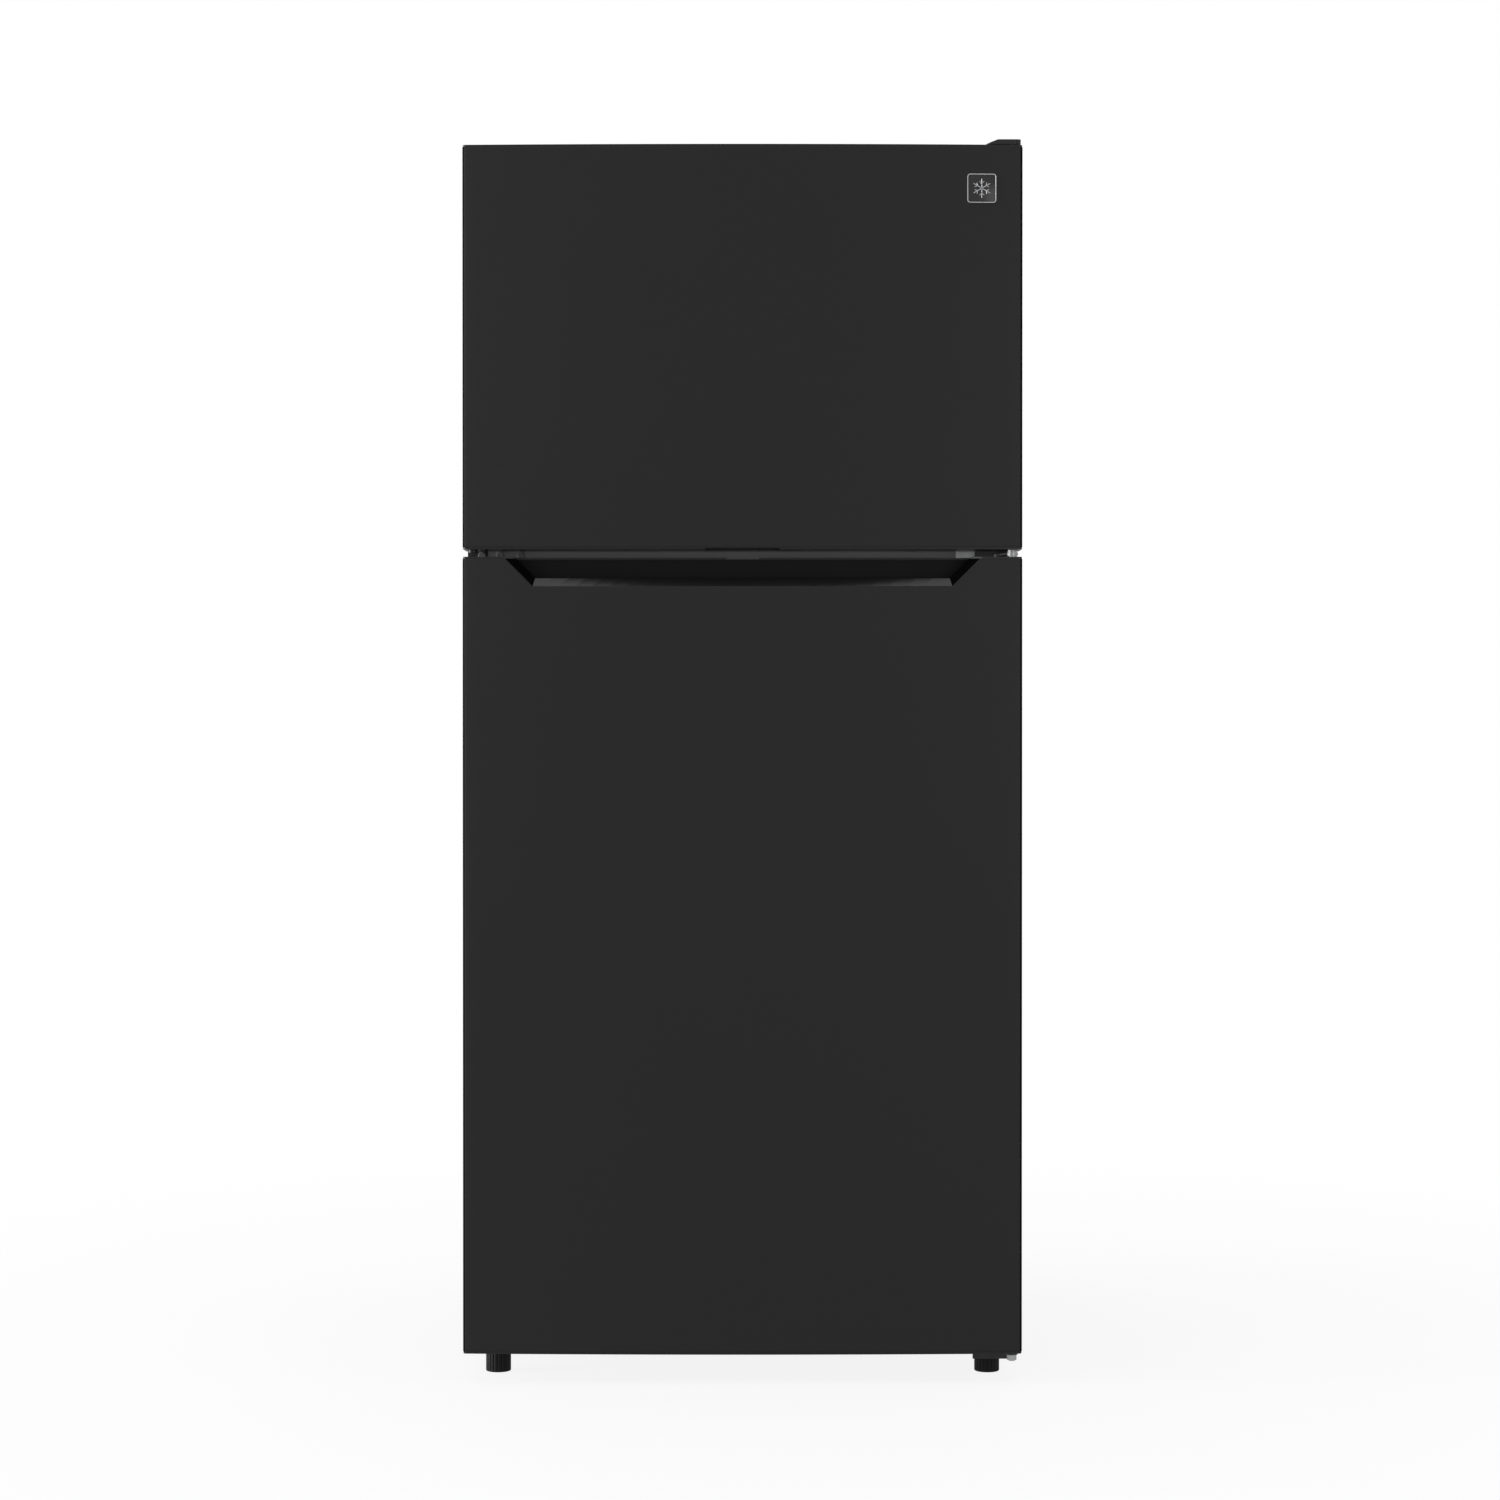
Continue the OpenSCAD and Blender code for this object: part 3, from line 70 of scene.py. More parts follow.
# ---------------------------------------------------------------- studio
# A pale floor without an edge, and soft boxes on both sides, overhead and behind. The surroundings show
# white to the viewer, and light the piece only a little.
scene = bpy.context.scene
scene.view_settings.view_transform = "Standard"
surround = 0.40
world = bpy.data.worlds.new("studio")
scene.world = world
world.use_nodes = True
world_nodes, world_links = world.node_tree.nodes, world.node_tree.links
world_nodes.clear()
seen = world_nodes.new("ShaderNodeBackground")
seen.inputs["Color"].default_value = (1, 1, 1, 1)
seen.inputs["Strength"].default_value = 1.0
around = world_nodes.new("ShaderNodeBackground")
around.inputs["Color"].default_value = (1, 1, 1, 1)
around.inputs["Strength"].default_value = surround
path = world_nodes.new("ShaderNodeLightPath")
pick = world_nodes.new("ShaderNodeMixShader")
world_out = world_nodes.new("ShaderNodeOutputWorld")
world_links.new(path.outputs["Is Camera Ray"], pick.inputs["Fac"])
world_links.new(around.outputs[0], pick.inputs[1])
world_links.new(seen.outputs[0], pick.inputs[2])
world_links.new(pick.outputs[0], world_out.inputs["Surface"])


def soft_box(name, place, aim, width, height, watts):
    data = bpy.data.lights.new(name, "AREA")
    data.shape = "RECTANGLE"
    data.size, data.size_y, data.energy = width, height, watts
    lamp = bpy.data.objects.new(name, data)
    lamp.location = place
    lamp.rotation_euler = (Vector(aim) - Vector(place)).to_track_quat("-Z", "Y").to_euler()
    bpy.context.collection.objects.link(lamp)


soft_box("left_box", (-3.9, -4.0, 1.9), (0, 0, 0.9), 2.2, 3.2, 38)
soft_box("side_box", (-5.0, -0.8, 1.3), (0, 0, 0.9), 1.6, 2.6, 180)
soft_box("right_box", (2.4, -5.0, 1.2), (0, 0, 0.9), 1.6, 2.6, 18)
soft_box("overhead_box", (0, -0.6, 4.4), (0, 0, 0.9), 5.0, 3.4, 48)
soft_box("rear_box", (0, 4.4, 3.0), (0, 0, 0.9), 4.0, 2.4, 60)

floor_mesh = bpy.data.meshes.new("floor")
floor_reach, floor_sides = (3.0, 8.0, 60.0), 64
floor_points = [(0, 0, 0)]
floor_faces = []
for reach in floor_reach:
    for i in range(floor_sides):
        turn = 2 * pi * i / floor_sides
        floor_points.append((reach * cos(turn), reach * sin(turn), 0))
for i in range(floor_sides):
    j = (i + 1) % floor_sides
    floor_faces.append((0, 1 + i, 1 + j))
    for ring in range(len(floor_reach) - 1):
        a, b = 1 + ring * floor_sides, 1 + (ring + 1) * floor_sides
        floor_faces.append((a + i, b + i, b + j, a + j))
floor_mesh.from_pydata(floor_points, [], floor_faces)
floor = bpy.data.objects.new("floor", floor_mesh)
bpy.context.collection.objects.link(floor)

# The paper takes shadows near the piece and fades into the white surroundings further out.
floor_paper = bpy.data.materials.new("floor_paper")
floor_paper.use_nodes = True
paper = floor_paper.node_tree
paper_skin = paper.nodes["Principled BSDF"]
paper_skin.inputs["Base Color"].default_value = (0.86, 0.86, 0.86, 1)
paper_skin.inputs["Roughness"].default_value = 0.95
paper_skin.inputs["Specular IOR Level"].default_value = 0.0
paper_place = paper.nodes.new("ShaderNodeTexCoord")
paper_reach = paper.nodes.new("ShaderNodeVectorMath")
paper_reach.operation = "LENGTH"
paper_fade = paper.nodes.new("ShaderNodeMapRange")
paper_fade.inputs["From Min"].default_value = 0.5
paper_fade.inputs["From Max"].default_value = 2.2
paper_fade.inputs["To Min"].default_value = 0.88
paper_glow = paper.nodes.new("ShaderNodeEmission")
paper_glow.inputs["Color"].default_value = (1, 1, 1, 1)
paper_path = paper.nodes.new("ShaderNodeLightPath")
paper_strength = paper.nodes.new("ShaderNodeMapRange")
paper_strength.inputs["To Min"].default_value = surround
paper_strength.inputs["To Max"].default_value = 1.0
paper_mix = paper.nodes.new("ShaderNodeMixShader")
paper_out = paper.nodes["Material Output"]
paper.links.new(paper_place.outputs["Object"], paper_reach.inputs[0])
paper.links.new(paper_reach.outputs["Value"], paper_fade.inputs["Value"])
paper.links.new(paper_fade.outputs["Result"], paper_mix.inputs["Fac"])
paper.links.new(paper_path.outputs["Is Camera Ray"], paper_strength.inputs["Value"])
paper.links.new(paper_strength.outputs["Result"], paper_glow.inputs["Strength"])
paper.links.new(paper_skin.outputs[0], paper_mix.inputs[1])
paper.links.new(paper_glow.outputs[0], paper_mix.inputs[2])
paper.links.new(paper_mix.outputs[0], paper_out.inputs["Surface"])
floor_mesh.materials.append(floor_paper)

# ---------------------------------------------------------------- outer case
# The outer case is one painted sheet bent over the sides and top, with a fine pebbled texture. Its front is
# turned in as a flange that the door seals meet.


def tint_drift_group():
    """A colour that wanders slowly between two tints over the surface."""
    group = bpy.data.node_groups.new("tint_drift", "ShaderNodeTree")
    face = group.interface
    face.new_socket("Tint", in_out="INPUT", socket_type="NodeSocketColor")
    face.new_socket("Other Tint", in_out="INPUT", socket_type="NodeSocketColor")
    face.new_socket("Scale", in_out="INPUT", socket_type="NodeSocketFloat")
    face.new_socket("Color", in_out="OUTPUT", socket_type="NodeSocketColor")
    take, give = group.nodes.new("NodeGroupInput"), group.nodes.new("NodeGroupOutput")
    place = group.nodes.new("ShaderNodeTexCoord")
    cloud = group.nodes.new("ShaderNodeTexNoise")
    cloud.inputs["Detail"].default_value = 3
    mix = group.nodes.new("ShaderNodeMix")
    mix.data_type = "RGBA"
    wire = group.links.new
    wire(place.outputs["Object"], cloud.inputs["Vector"])
    wire(take.outputs["Scale"], cloud.inputs["Scale"])
    wire(cloud.outputs["Fac"], mix.inputs["Factor"])
    wire(take.outputs["Tint"], mix.inputs["A"])
    wire(take.outputs["Other Tint"], mix.inputs["B"])
    wire(mix.outputs["Result"], give.inputs["Color"])
    return group


def handling_group():
    """Roughness that drifts where hands and cloths have been."""
    group = bpy.data.node_groups.new("handling", "ShaderNodeTree")
    face = group.interface
    face.new_socket("Smoothest", in_out="INPUT", socket_type="NodeSocketFloat")
    face.new_socket("Roughest", in_out="INPUT", socket_type="NodeSocketFloat")
    face.new_socket("Scale", in_out="INPUT", socket_type="NodeSocketFloat")
    face.new_socket("Roughness", in_out="OUTPUT", socket_type="NodeSocketFloat")
    take, give = group.nodes.new("NodeGroupInput"), group.nodes.new("NodeGroupOutput")
    place = group.nodes.new("ShaderNodeTexCoord")
    cloud = group.nodes.new("ShaderNodeTexNoise")
    cloud.inputs["Detail"].default_value = 5
    cloud.inputs["Roughness"].default_value = 0.6
    spread = group.nodes.new("ShaderNodeMapRange")
    spread.inputs["From Min"].default_value = 0.3
    spread.inputs["From Max"].default_value = 0.7
    wire = group.links.new
    wire(place.outputs["Object"], cloud.inputs["Vector"])
    wire(take.outputs["Scale"], cloud.inputs["Scale"])
    wire(cloud.outputs["Fac"], spread.inputs["Value"])
    wire(take.outputs["Smoothest"], spread.inputs["To Min"])
    wire(take.outputs["Roughest"], spread.inputs["To Max"])
    wire(spread.outputs["Result"], give.inputs["Roughness"])
    return group


def grain_group():
    """Height of a fine grain, from orange peel in paint to the etched surface of moulded plastic."""
    group = bpy.data.node_groups.new("surface_grain", "ShaderNodeTree")
    face = group.interface
    face.new_socket("Size", in_out="INPUT", socket_type="NodeSocketFloat")
    face.new_socket("Pebble", in_out="INPUT", socket_type="NodeSocketFloat")
    face.new_socket("Height", in_out="OUTPUT", socket_type="NodeSocketFloat")
    take, give = group.nodes.new("NodeGroupInput"), group.nodes.new("NodeGroupOutput")
    place = group.nodes.new("ShaderNodeTexCoord")
    ripple = group.nodes.new("ShaderNodeTexNoise")
    ripple.inputs["Detail"].default_value = 2
    cells = group.nodes.new("ShaderNodeTexVoronoi")
    cells.feature = "SMOOTH_F1"
    blend = group.nodes.new("ShaderNodeMix")
    wire = group.links.new
    for texture in (ripple, cells):
        wire(place.outputs["Object"], texture.inputs["Vector"])
        wire(take.outputs["Size"], texture.inputs["Scale"])
    wire(take.outputs["Pebble"], blend.inputs["Factor"])
    wire(ripple.outputs["Fac"], blend.inputs["A"])
    wire(cells.outputs["Distance"], blend.inputs["B"])
    wire(blend.outputs["Result"], give.inputs["Height"])
    return group


def worn_edge_group():
    """Lightens a colour where an edge stands out and gets rubbed."""
    group = bpy.data.node_groups.new("worn_edge", "ShaderNodeTree")
    face = group.interface
    face.new_socket("Color", in_out="INPUT", socket_type="NodeSocketColor")
    face.new_socket("Rubbed", in_out="INPUT", socket_type="NodeSocketColor")
    face.new_socket("Amount", in_out="INPUT", socket_type="NodeSocketFloat")
    face.new_socket("Color", in_out="OUTPUT", socket_type="NodeSocketColor")
    take, give = group.nodes.new("NodeGroupInput"), group.nodes.new("NodeGroupOutput")
    shape = group.nodes.new("ShaderNodeNewGeometry")
    ridge = group.nodes.new("ShaderNodeMapRange")
    ridge.inputs["From Min"].default_value = 0.53
    ridge.inputs["From Max"].default_value = 0.62
    amount = group.nodes.new("ShaderNodeMath")
    amount.operation = "MULTIPLY"
    mix = group.nodes.new("ShaderNodeMix")
    mix.data_type = "RGBA"
    wire = group.links.new
    wire(shape.outputs["Pointiness"], ridge.inputs["Value"])
    wire(ridge.outputs["Result"], amount.inputs[0])
    wire(take.outputs["Amount"], amount.inputs[1])
    wire(amount.outputs[0], mix.inputs["Factor"])
    wire(take.outputs["Color"], mix.inputs["A"])
    wire(take.outputs["Rubbed"], mix.inputs["B"])
    wire(mix.outputs["Result"], give.inputs["Color"])
    return group


tint_drift, handling = tint_drift_group(), handling_group()
surface_grain, worn_edge = grain_group(), worn_edge_group()


def surface(name, tint, other, rough, grain, rubbed=None, drift=6.0, **plain):
    """A finish: two near tints, a roughness range, and a grain of (size, pebble, depth in metres)."""
    material = bpy.data.materials.new(name)
    material.use_nodes = True
    tree = material.node_tree
    shader = tree.nodes["Principled BSDF"]
    wire = tree.links.new

    def place(group, **values):
        node = tree.nodes.new("ShaderNodeGroup")
        node.node_tree = group
        for socket, value in values.items():
            node.inputs[socket.replace("_", " ")].default_value = value
        return node

    colour = place(tint_drift, Tint=(*tint, 1), Other_Tint=(*other, 1), Scale=drift).outputs[0]
    if rubbed:
        wear = place(worn_edge, Rubbed=(*rubbed[0], 1), Amount=rubbed[1])
        wire(colour, wear.inputs["Color"])
        colour = wear.outputs[0]
    wire(colour, shader.inputs["Base Color"])
    wear_drift = place(handling, Smoothest=rough[0], Roughest=rough[1], Scale=7.0)
    wire(wear_drift.outputs[0], shader.inputs["Roughness"])
    bump = tree.nodes.new("ShaderNodeBump")
    bump.inputs["Distance"].default_value = grain[2]
    wire(place(surface_grain, Size=grain[0], Pebble=grain[1]).outputs[0], bump.inputs["Height"])
    wire(bump.outputs["Normal"], shader.inputs["Normal"])
    for socket, value in plain.items():
        shader.inputs[socket.replace("_", " ")].default_value = value
    return material


def dress(node, material, soft=0.0, steps=2, angle=32):
    """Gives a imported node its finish, and rounds its sharp edges a little."""
    piece = nodes[node]
    piece.data.materials.clear()
    piece.data.materials.append(material)
    for face in piece.data.polygons:
        face.material_index = 0
    if soft:
        weld = piece.modifiers.new("joined_faces", "WELD")
        weld.merge_threshold = 0.000005
        edge = piece.modifiers.new("softened_edges", "BEVEL")
        edge.width, edge.segments = soft, steps
        edge.limit_method, edge.angle_limit = "ANGLE", radians(angle)
        edge.use_clamp_overlap = True
        edge.miter_outer = "MITER_ARC"
        level = piece.modifiers.new("even_shading", "WEIGHTED_NORMAL")
        level.keep_sharp = False
        level.weight = 80
    return piece


case_paint = surface(
    "case_paint", (0.017, 0.017, 0.0175), (0.021, 0.021, 0.0215), (0.42, 0.52), (1100, 1.0, 0.00012),
    rubbed=((0.05, 0.05, 0.05), 0.4), drift=2.0,
)
dress("outer_case", case_paint, 0.0026, 4)

# ---------------------------------------------------------------- back and base
# The back panel and the louvred cover of the machine room are bare galvanised sheet, screwed on. The base
# pan is painted, and the cord enters through a moulded gland in the back.
spangle = surface(
    "galvanised_sheet", (0.34, 0.35, 0.36), (0.50, 0.51, 0.52), (0.34, 0.5), (90, 1.0, 0.00002),
    drift=45, Metallic=0.9,
)
bracket_paint = surface(
    "bracket_paint", (0.03, 0.03, 0.031), (0.04, 0.04, 0.041), (0.34, 0.46), (600, 0.3, 0.00002),
    rubbed=((0.12, 0.12, 0.12), 0.5),
)
cover_plastic = surface(
    "cover_plastic", (0.012, 0.012, 0.0125), (0.015, 0.015, 0.0155), (0.34, 0.44), (1500, 0.8, 0.00003),
    rubbed=((0.03, 0.03, 0.03), 0.3),
)
dress("back_panel", spangle, 0.0012, 3)
dress("machine_room_cover", spangle, 0.0003)
dress("base_pan", bracket_paint, 0.0006)
dress("power_cord_gland", cover_plastic, 0.0006)

# ---------------------------------------------------------------- insulation
# Polyurethane foam, blown between the case and the liners and inside the doors, where it sets hard and holds
# the sheets together.
foam = surface("blown_foam", (0.70, 0.58, 0.34), (0.80, 0.68, 0.42), (0.8, 0.9), (260, 0.6, 0.0006), drift=20)
for node in ("foam_insulation", "freezer_door_foam", "fridge_door_foam"):
    dress(node, foam)

# ---------------------------------------------------------------- compartment liners
# Both compartments are tubs of white polystyrene sheet, drawn over a mould while hot, so every inner corner
# is rounded. A flat lip lies behind the case's flange, and ledges for the shelves are moulded in the sides.
liner_white = surface(
    "liner_white", (0.81, 0.83, 0.83), (0.83, 0.85, 0.85), (0.24, 0.28), (260, 0.1, 0.00002), drift=3,
)
lip_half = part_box("mullion_rail")[1].x
liner_sheet = 0.0016


def finish_piece(bm, name, material, body, slot, *replaced, smooth=35):
    """Turns a built mesh into a piece that rides on its body in place of the nodes it stands for."""
    bmesh.ops.remove_doubles(bm, verts=bm.verts, dist=1e-6)
    bmesh.ops.recalc_face_normals(bm, faces=bm.faces)
    mesh = bpy.data.meshes.new(name)
    bm.to_mesh(mesh)
    bm.free()
    mesh.shade_smooth()
    mesh.set_sharp_from_angle(angle=radians(smooth))
    mesh.materials.append(material)
    piece = bpy.data.objects.new(name, mesh)
    bpy.context.collection.objects.link(piece)
    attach(piece, body)
    if replaced:
        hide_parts(*replaced)
    return piece


def rounded_bar(bm, low, high, radius, steps=2):
    """A box between two corners with all its edges rounded."""
    made = bmesh.ops.create_cube(bm, size=1.0)
    size = [b - a for a, b in zip(low, high)]
    middle = [(a + b) / 2 for a, b in zip(low, high)]
    bmesh.ops.scale(bm, vec=size, verts=made["verts"])
    bmesh.ops.translate(bm, vec=middle, verts=made["verts"])
    edges = {edge for vert in made["verts"] for edge in vert.link_edges}
    if radius:
        bmesh.ops.bevel(bm, geom=list(edges), offset=radius, segments=steps, affect="EDGES", profile=0.5)


def drawn_tub(name, section, half_width, lip_z, fillet, node, ledges):
    """A liner from its side view: the section's first and last points are at the opening."""
    tub = bmesh.new()
    left = [tub.verts.new((-half_width, y, z)) for y, z in section]
    right = [tub.verts.new((half_width, y, z)) for y, z in section]
    tub.faces.new(left[::-1])
    tub.faces.new(right)
    for i in range(len(section) - 1):
        tub.faces.new((left[i], left[i + 1], right[i + 1], right[i]))
    inner_edges = [edge for edge in tub.edges if not edge.is_boundary and not (
        {edge.verts[0], edge.verts[1]} in ({left[0], left[-1]}, {right[0], right[-1]}))]
    mouth = {left[0], left[-1], right[0], right[-1]}
    inner_edges = [edge for edge in inner_edges if not all(vert in mouth for vert in edge.verts)]
    bmesh.ops.bevel(tub, geom=inner_edges, offset=fillet, segments=4, affect="EDGES", profile=0.5)
    y_mouth = section[0][0]
    low_z, high_z = section[0][1], section[-1][1]
    loop = [edge for edge in tub.edges if edge.is_boundary]
    outer = {}

    def beyond(vert):
        x, _, z = vert.co
        if abs(abs(x) - half_width) < 1e-5 and low_z + fillet * 0.9 < z < high_z - fillet * 0.9:
            spot = (lip_half if x > 0 else -lip_half, z)
        elif abs(x) < half_width - fillet * 0.9 and (abs(z - low_z) < 1e-5 or abs(z - high_z) < 1e-5):
            spot = (x, lip_z[1] if z > (low_z + high_z) / 2 else lip_z[0])
        else:
            spot = (lip_half if x > 0 else -lip_half, lip_z[1] if z > (low_z + high_z) / 2 else lip_z[0])
        if spot not in outer:
            outer[spot] = tub.verts.new((spot[0], y_mouth, spot[1]))
        return outer[spot]

    for edge in loop:
        a, b = edge.verts
        c, d = beyond(b), beyond(a)
        tub.faces.new((a, b, c, d) if c is not d else (a, b, c))
    mouth_edges = [edge for edge in loop if edge.is_valid]
    bmesh.ops.bevel(tub, geom=mouth_edges, offset=0.003, segments=3, affect="EDGES", profile=0.5)
    bmesh.ops.recalc_face_normals(tub, faces=tub.faces)
    far = max(tub.faces, key=lambda face: face.calc_center_median().y)
    if far.normal.y > 0:
        bmesh.ops.reverse_faces(tub, faces=tub.faces)
    mesh = bpy.data.meshes.new(name)
    tub.to_mesh(mesh)
    tub.free()
    mesh.shade_smooth()
    mesh.set_sharp_from_angle(angle=radians(60))
    mesh.materials.append(liner_white)
    shell = bpy.data.objects.new(name, mesh)
    bpy.context.collection.objects.link(shell)
    thick = shell.modifiers.new("sheet", "SOLIDIFY")
    thick.thickness, thick.offset = liner_sheet, -1
    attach(shell, "cabinet")
    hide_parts(node)
    bars = bmesh.new()
    for z_low, z_high, y_low, y_high in ledges:
        for side in (-1, 1):
            inner = side * (half_width - 0.008)
            outer_x = side * (half_width + 0.001)
            near, far_x = min(inner, outer_x), max(inner, outer_x)
            rounded_bar(bars, (near, y_low, z_low), (far_x, y_high, z_high), 0.0025, 3)
    finish_piece(bars, f"{name}_ledges", liner_white, "cabinet", "white_liner", node)


case_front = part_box("outer_case")[0].y
shelf_nodes = sorted({round(v.co.z, 4) for v in nodes["shelf_glass"].data.vertices})
freezer_box, fridge_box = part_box("freezer_liner"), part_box("fridge_liner")
liner_skin = 0.002
wall_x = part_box("evaporator_cover")[1].x
freezer_floor, freezer_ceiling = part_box("evaporator_cover")[0].z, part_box("evaporator_cover")[1].z
freezer_back = freezer_box[1].y - liner_skin
rail_low, rail_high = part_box("mullion_rail")[0].z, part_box("mullion_rail")[1].z
wire_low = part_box("freezer_shelf")[0]
drawn_tub(
    "freezer_tub",
    [(case_front, freezer_floor), (freezer_back, freezer_floor), (freezer_back, freezer_ceiling),
     (case_front, freezer_ceiling)],
    wall_x, (rail_high, freezer_box[1].z), 0.012, "freezer_liner",
    [(wire_low.z - 0.012, wire_low.z, wire_low.y - 0.004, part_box("evaporator_cover")[0].y - 0.002)],
)
fridge_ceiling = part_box("control_box")[1].z
fridge_wall_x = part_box("shelf_frames")[1].x + 0.002
drawer_low, drawer_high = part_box("crisper_left")
fridge_floor = drawer_low.z - 0.001
hump_front, hump_top = drawer_high.y + 0.008, drawer_high.z
fridge_back = fridge_box[1].y - liner_skin
shelf_bottoms = [shelf_nodes[0] - 0.011, shelf_nodes[2] - 0.011, shelf_nodes[4] - 0.011]
drawn_tub(
    "fridge_tub",
    [(case_front, fridge_floor), (hump_front, fridge_floor), (hump_front, hump_top), (fridge_back, hump_top),
     (fridge_back, fridge_ceiling), (case_front, fridge_ceiling)],
    fridge_wall_x, (fridge_box[0].z, rail_low), 0.010, "fridge_liner",
    [(z - 0.012, z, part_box("shelf_frames")[0].y + 0.026, fridge_back - 0.006) for z in shelf_bottoms],
)

# ---------------------------------------------------------------- rail between the doors
# A painted steel rail closes the front between the two compartments. Its grey is partly its own dark paint
# and partly painted light, standing for the light that falls on it between the doors. Grey plugs fill the
# holes that are there for hanging the doors on the other side.
# Mid grey, partly the rail's own dark paint and partly painted light.
rail_paint_with_painted_light = surface(
    "rail_paint_with_painted_light", (0.24, 0.24, 0.243), (0.27, 0.27, 0.273), (0.32, 0.4), (900, 0.2, 0.00001),
    drift=5, Metallic=0.5,
)
plug_plastic = surface(
    "plug_plastic", (0.19, 0.19, 0.192), (0.21, 0.21, 0.212), (0.36, 0.44), (1500, 0.6, 0.00002),
)
dress("mullion_rail", rail_paint_with_painted_light, 0.0003)
dress("spare_hinge_plugs", plug_plastic, 0.0004)

# ---------------------------------------------------------------- machine room
# The compressor is a welded steel shell in black paint, on rubber grommets. Its copper pipes run to the
# condenser, which a fan cools, and the melt water dries off in a pan beside it.
compressor_paint = surface(
    "compressor_paint", (0.010, 0.010, 0.0105), (0.014, 0.014, 0.0145), (0.16, 0.28), (220, 0.0, 0.00004),
    rubbed=((0.06, 0.06, 0.06), 0.5),
)
grommet_rubber = surface(
    "grommet_rubber", (0.020, 0.020, 0.020), (0.028, 0.027, 0.026), (0.68, 0.82), (800, 0.5, 0.00003),
    drift=30,
)
copper_tube = surface(
    "copper_tube", (0.72, 0.30, 0.17), (0.48, 0.20, 0.12), (0.26, 0.42), (300, 0.1, 0.00001),
    drift=18, Metallic=1.0,
)
motor_plastic = surface(
    "motor_plastic", (0.10, 0.105, 0.11), (0.12, 0.125, 0.13), (0.38, 0.5), (1300, 0.7, 0.00002),
)
dress("compressor", compressor_paint, 0.0012, 3)
dress("compressor_grommets", grommet_rubber, 0.0006)
dress("condenser_coil", copper_tube)
dress("condenser_fan_motor", motor_plastic, 0.0007)
dress("condenser_fan_blade", cover_plastic, 0.0004)
dress("drain_pan", cover_plastic, 0.0008)

# ---------------------------------------------------------------- freezer evaporator
# An aluminium coil with pressed fins, and the fan that moves the cold air, behind a moulded white cover with
# outlet slots.
bare_aluminium = surface(
    "bare_aluminium", (0.68, 0.69, 0.70), (0.78, 0.79, 0.80), (0.3, 0.46), (500, 0.3, 0.00002),
    drift=25, Metallic=1.0,
)
moulded_white = surface(
    "moulded_white", (0.74, 0.76, 0.77), (0.79, 0.81, 0.82), (0.3, 0.4), (1400, 0.7, 0.00002), drift=4,
)
dress("evaporator_coil", bare_aluminium)
dress("evaporator_fan_motor", motor_plastic, 0.0007)
dress("evaporator_fan_blade", moulded_white, 0.0004)
dress("evaporator_cover", moulded_white, 0.0010, 3)

# ---------------------------------------------------------------- inner fittings
# A wire shelf in white epoxy, the duct that brings cold air down, and the control box with its knob and a
# frosted lens over the lamp.
wire_epoxy = surface(
    "wire_epoxy", (0.80, 0.81, 0.81), (0.84, 0.85, 0.85), (0.24, 0.34), (700, 0.0, 0.00004), drift=9,
)
frosted_lens = surface(
    "frosted_lens", (0.90, 0.91, 0.90), (0.94, 0.95, 0.94), (0.42, 0.52), (1600, 0.4, 0.00003),
    Transmission_Weight=0.6, IOR=1.49,
)
dress("freezer_shelf", wire_epoxy, 0.0003)
dress("air_duct", moulded_white, 0.0012, 3)
dress("control_box", moulded_white, 0.0012, 3)
dress("thermostat_knob", moulded_white, 0.0005)
dress("light_lens", frosted_lens, 0.0006)

# ---------------------------------------------------------------- shelves and drawers
# Tempered glass set in moulded frames that slide on the liner's ledges. The lowest covers two clear drawers
# and carries the slide that sets their humidity.
shelf_glass = surface(
    "shelf_glass", (0.78, 0.90, 0.86), (0.80, 0.92, 0.88), (0.02, 0.05), (40, 0.0, 0.00001),
    Transmission_Weight=1.0, IOR=1.52, Alpha=0.45,
)
clear_styrene = surface(
    "clear_styrene", (0.88, 0.93, 0.94), (0.91, 0.95, 0.96), (0.07, 0.14), (180, 0.1, 0.00002),
    Transmission_Weight=0.9, IOR=1.58, Alpha=0.5,
)
slide_blue = surface(
    "slide_blue", (0.10, 0.26, 0.38), (0.12, 0.30, 0.42), (0.3, 0.4), (1500, 0.6, 0.00001),
)
dress("shelf_frames", moulded_white, 0.0010, 3)
dress("shelf_glass", shelf_glass, 0.0006)
dress("humidity_slide", slide_blue, 0.0004)
for drawer in ("crisper_left", "crisper_right"):
    dress(drawer, clear_styrene, 0.0010)

# ---------------------------------------------------------------- hinges
# Pressed steel brackets with riveted pins. The middle one is bright zinc with a black clip-on cover, the top
# one hides under a moulded cover, and the bottom one is painted round its bare pin. The clip-on cover's
# colour is
# lightened to a dark grey: painted light against the shade it sits in between the doors.
zinc_plate = surface(
    "zinc_plate", (0.62, 0.63, 0.64), (0.72, 0.73, 0.73), (0.30, 0.42), (160, 0.5, 0.00001),
    drift=60, Metallic=0.85,
)
# Black clip plastic lightened to dark grey: painted light for the cover, which sits in shade.
clip_plastic_with_painted_light = surface(
    "clip_plastic_with_painted_light", (0.10, 0.10, 0.101), (0.11, 0.11, 0.111), (0.36, 0.44), (1500, 0.6, 0.00002),
)
dress("top_hinge", zinc_plate, 0.0005)
dress("middle_hinge", zinc_plate, 0.0004)
bracket = dress("bottom_hinge", bracket_paint, 0.0005)
bracket.data.materials.append(zinc_plate)
bushing_low, bushing_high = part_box("fridge_door_bushings")
axis_x, axis_y = (bushing_low.x + bushing_high.x) / 2, (bushing_low.y + bushing_high.y) / 2
bare_reach = 0.0068
for face in bracket.data.polygons:
    if hypot(face.center.x - axis_x, face.center.y - axis_y) < bare_reach:
        face.material_index = 1
dress("hinge_screws", zinc_plate, 0.0003)
dress("top_hinge_cover", cover_plastic, 0.0009, 3)
dress("middle_hinge_cover", clip_plastic_with_painted_light, 0.0006, 3)

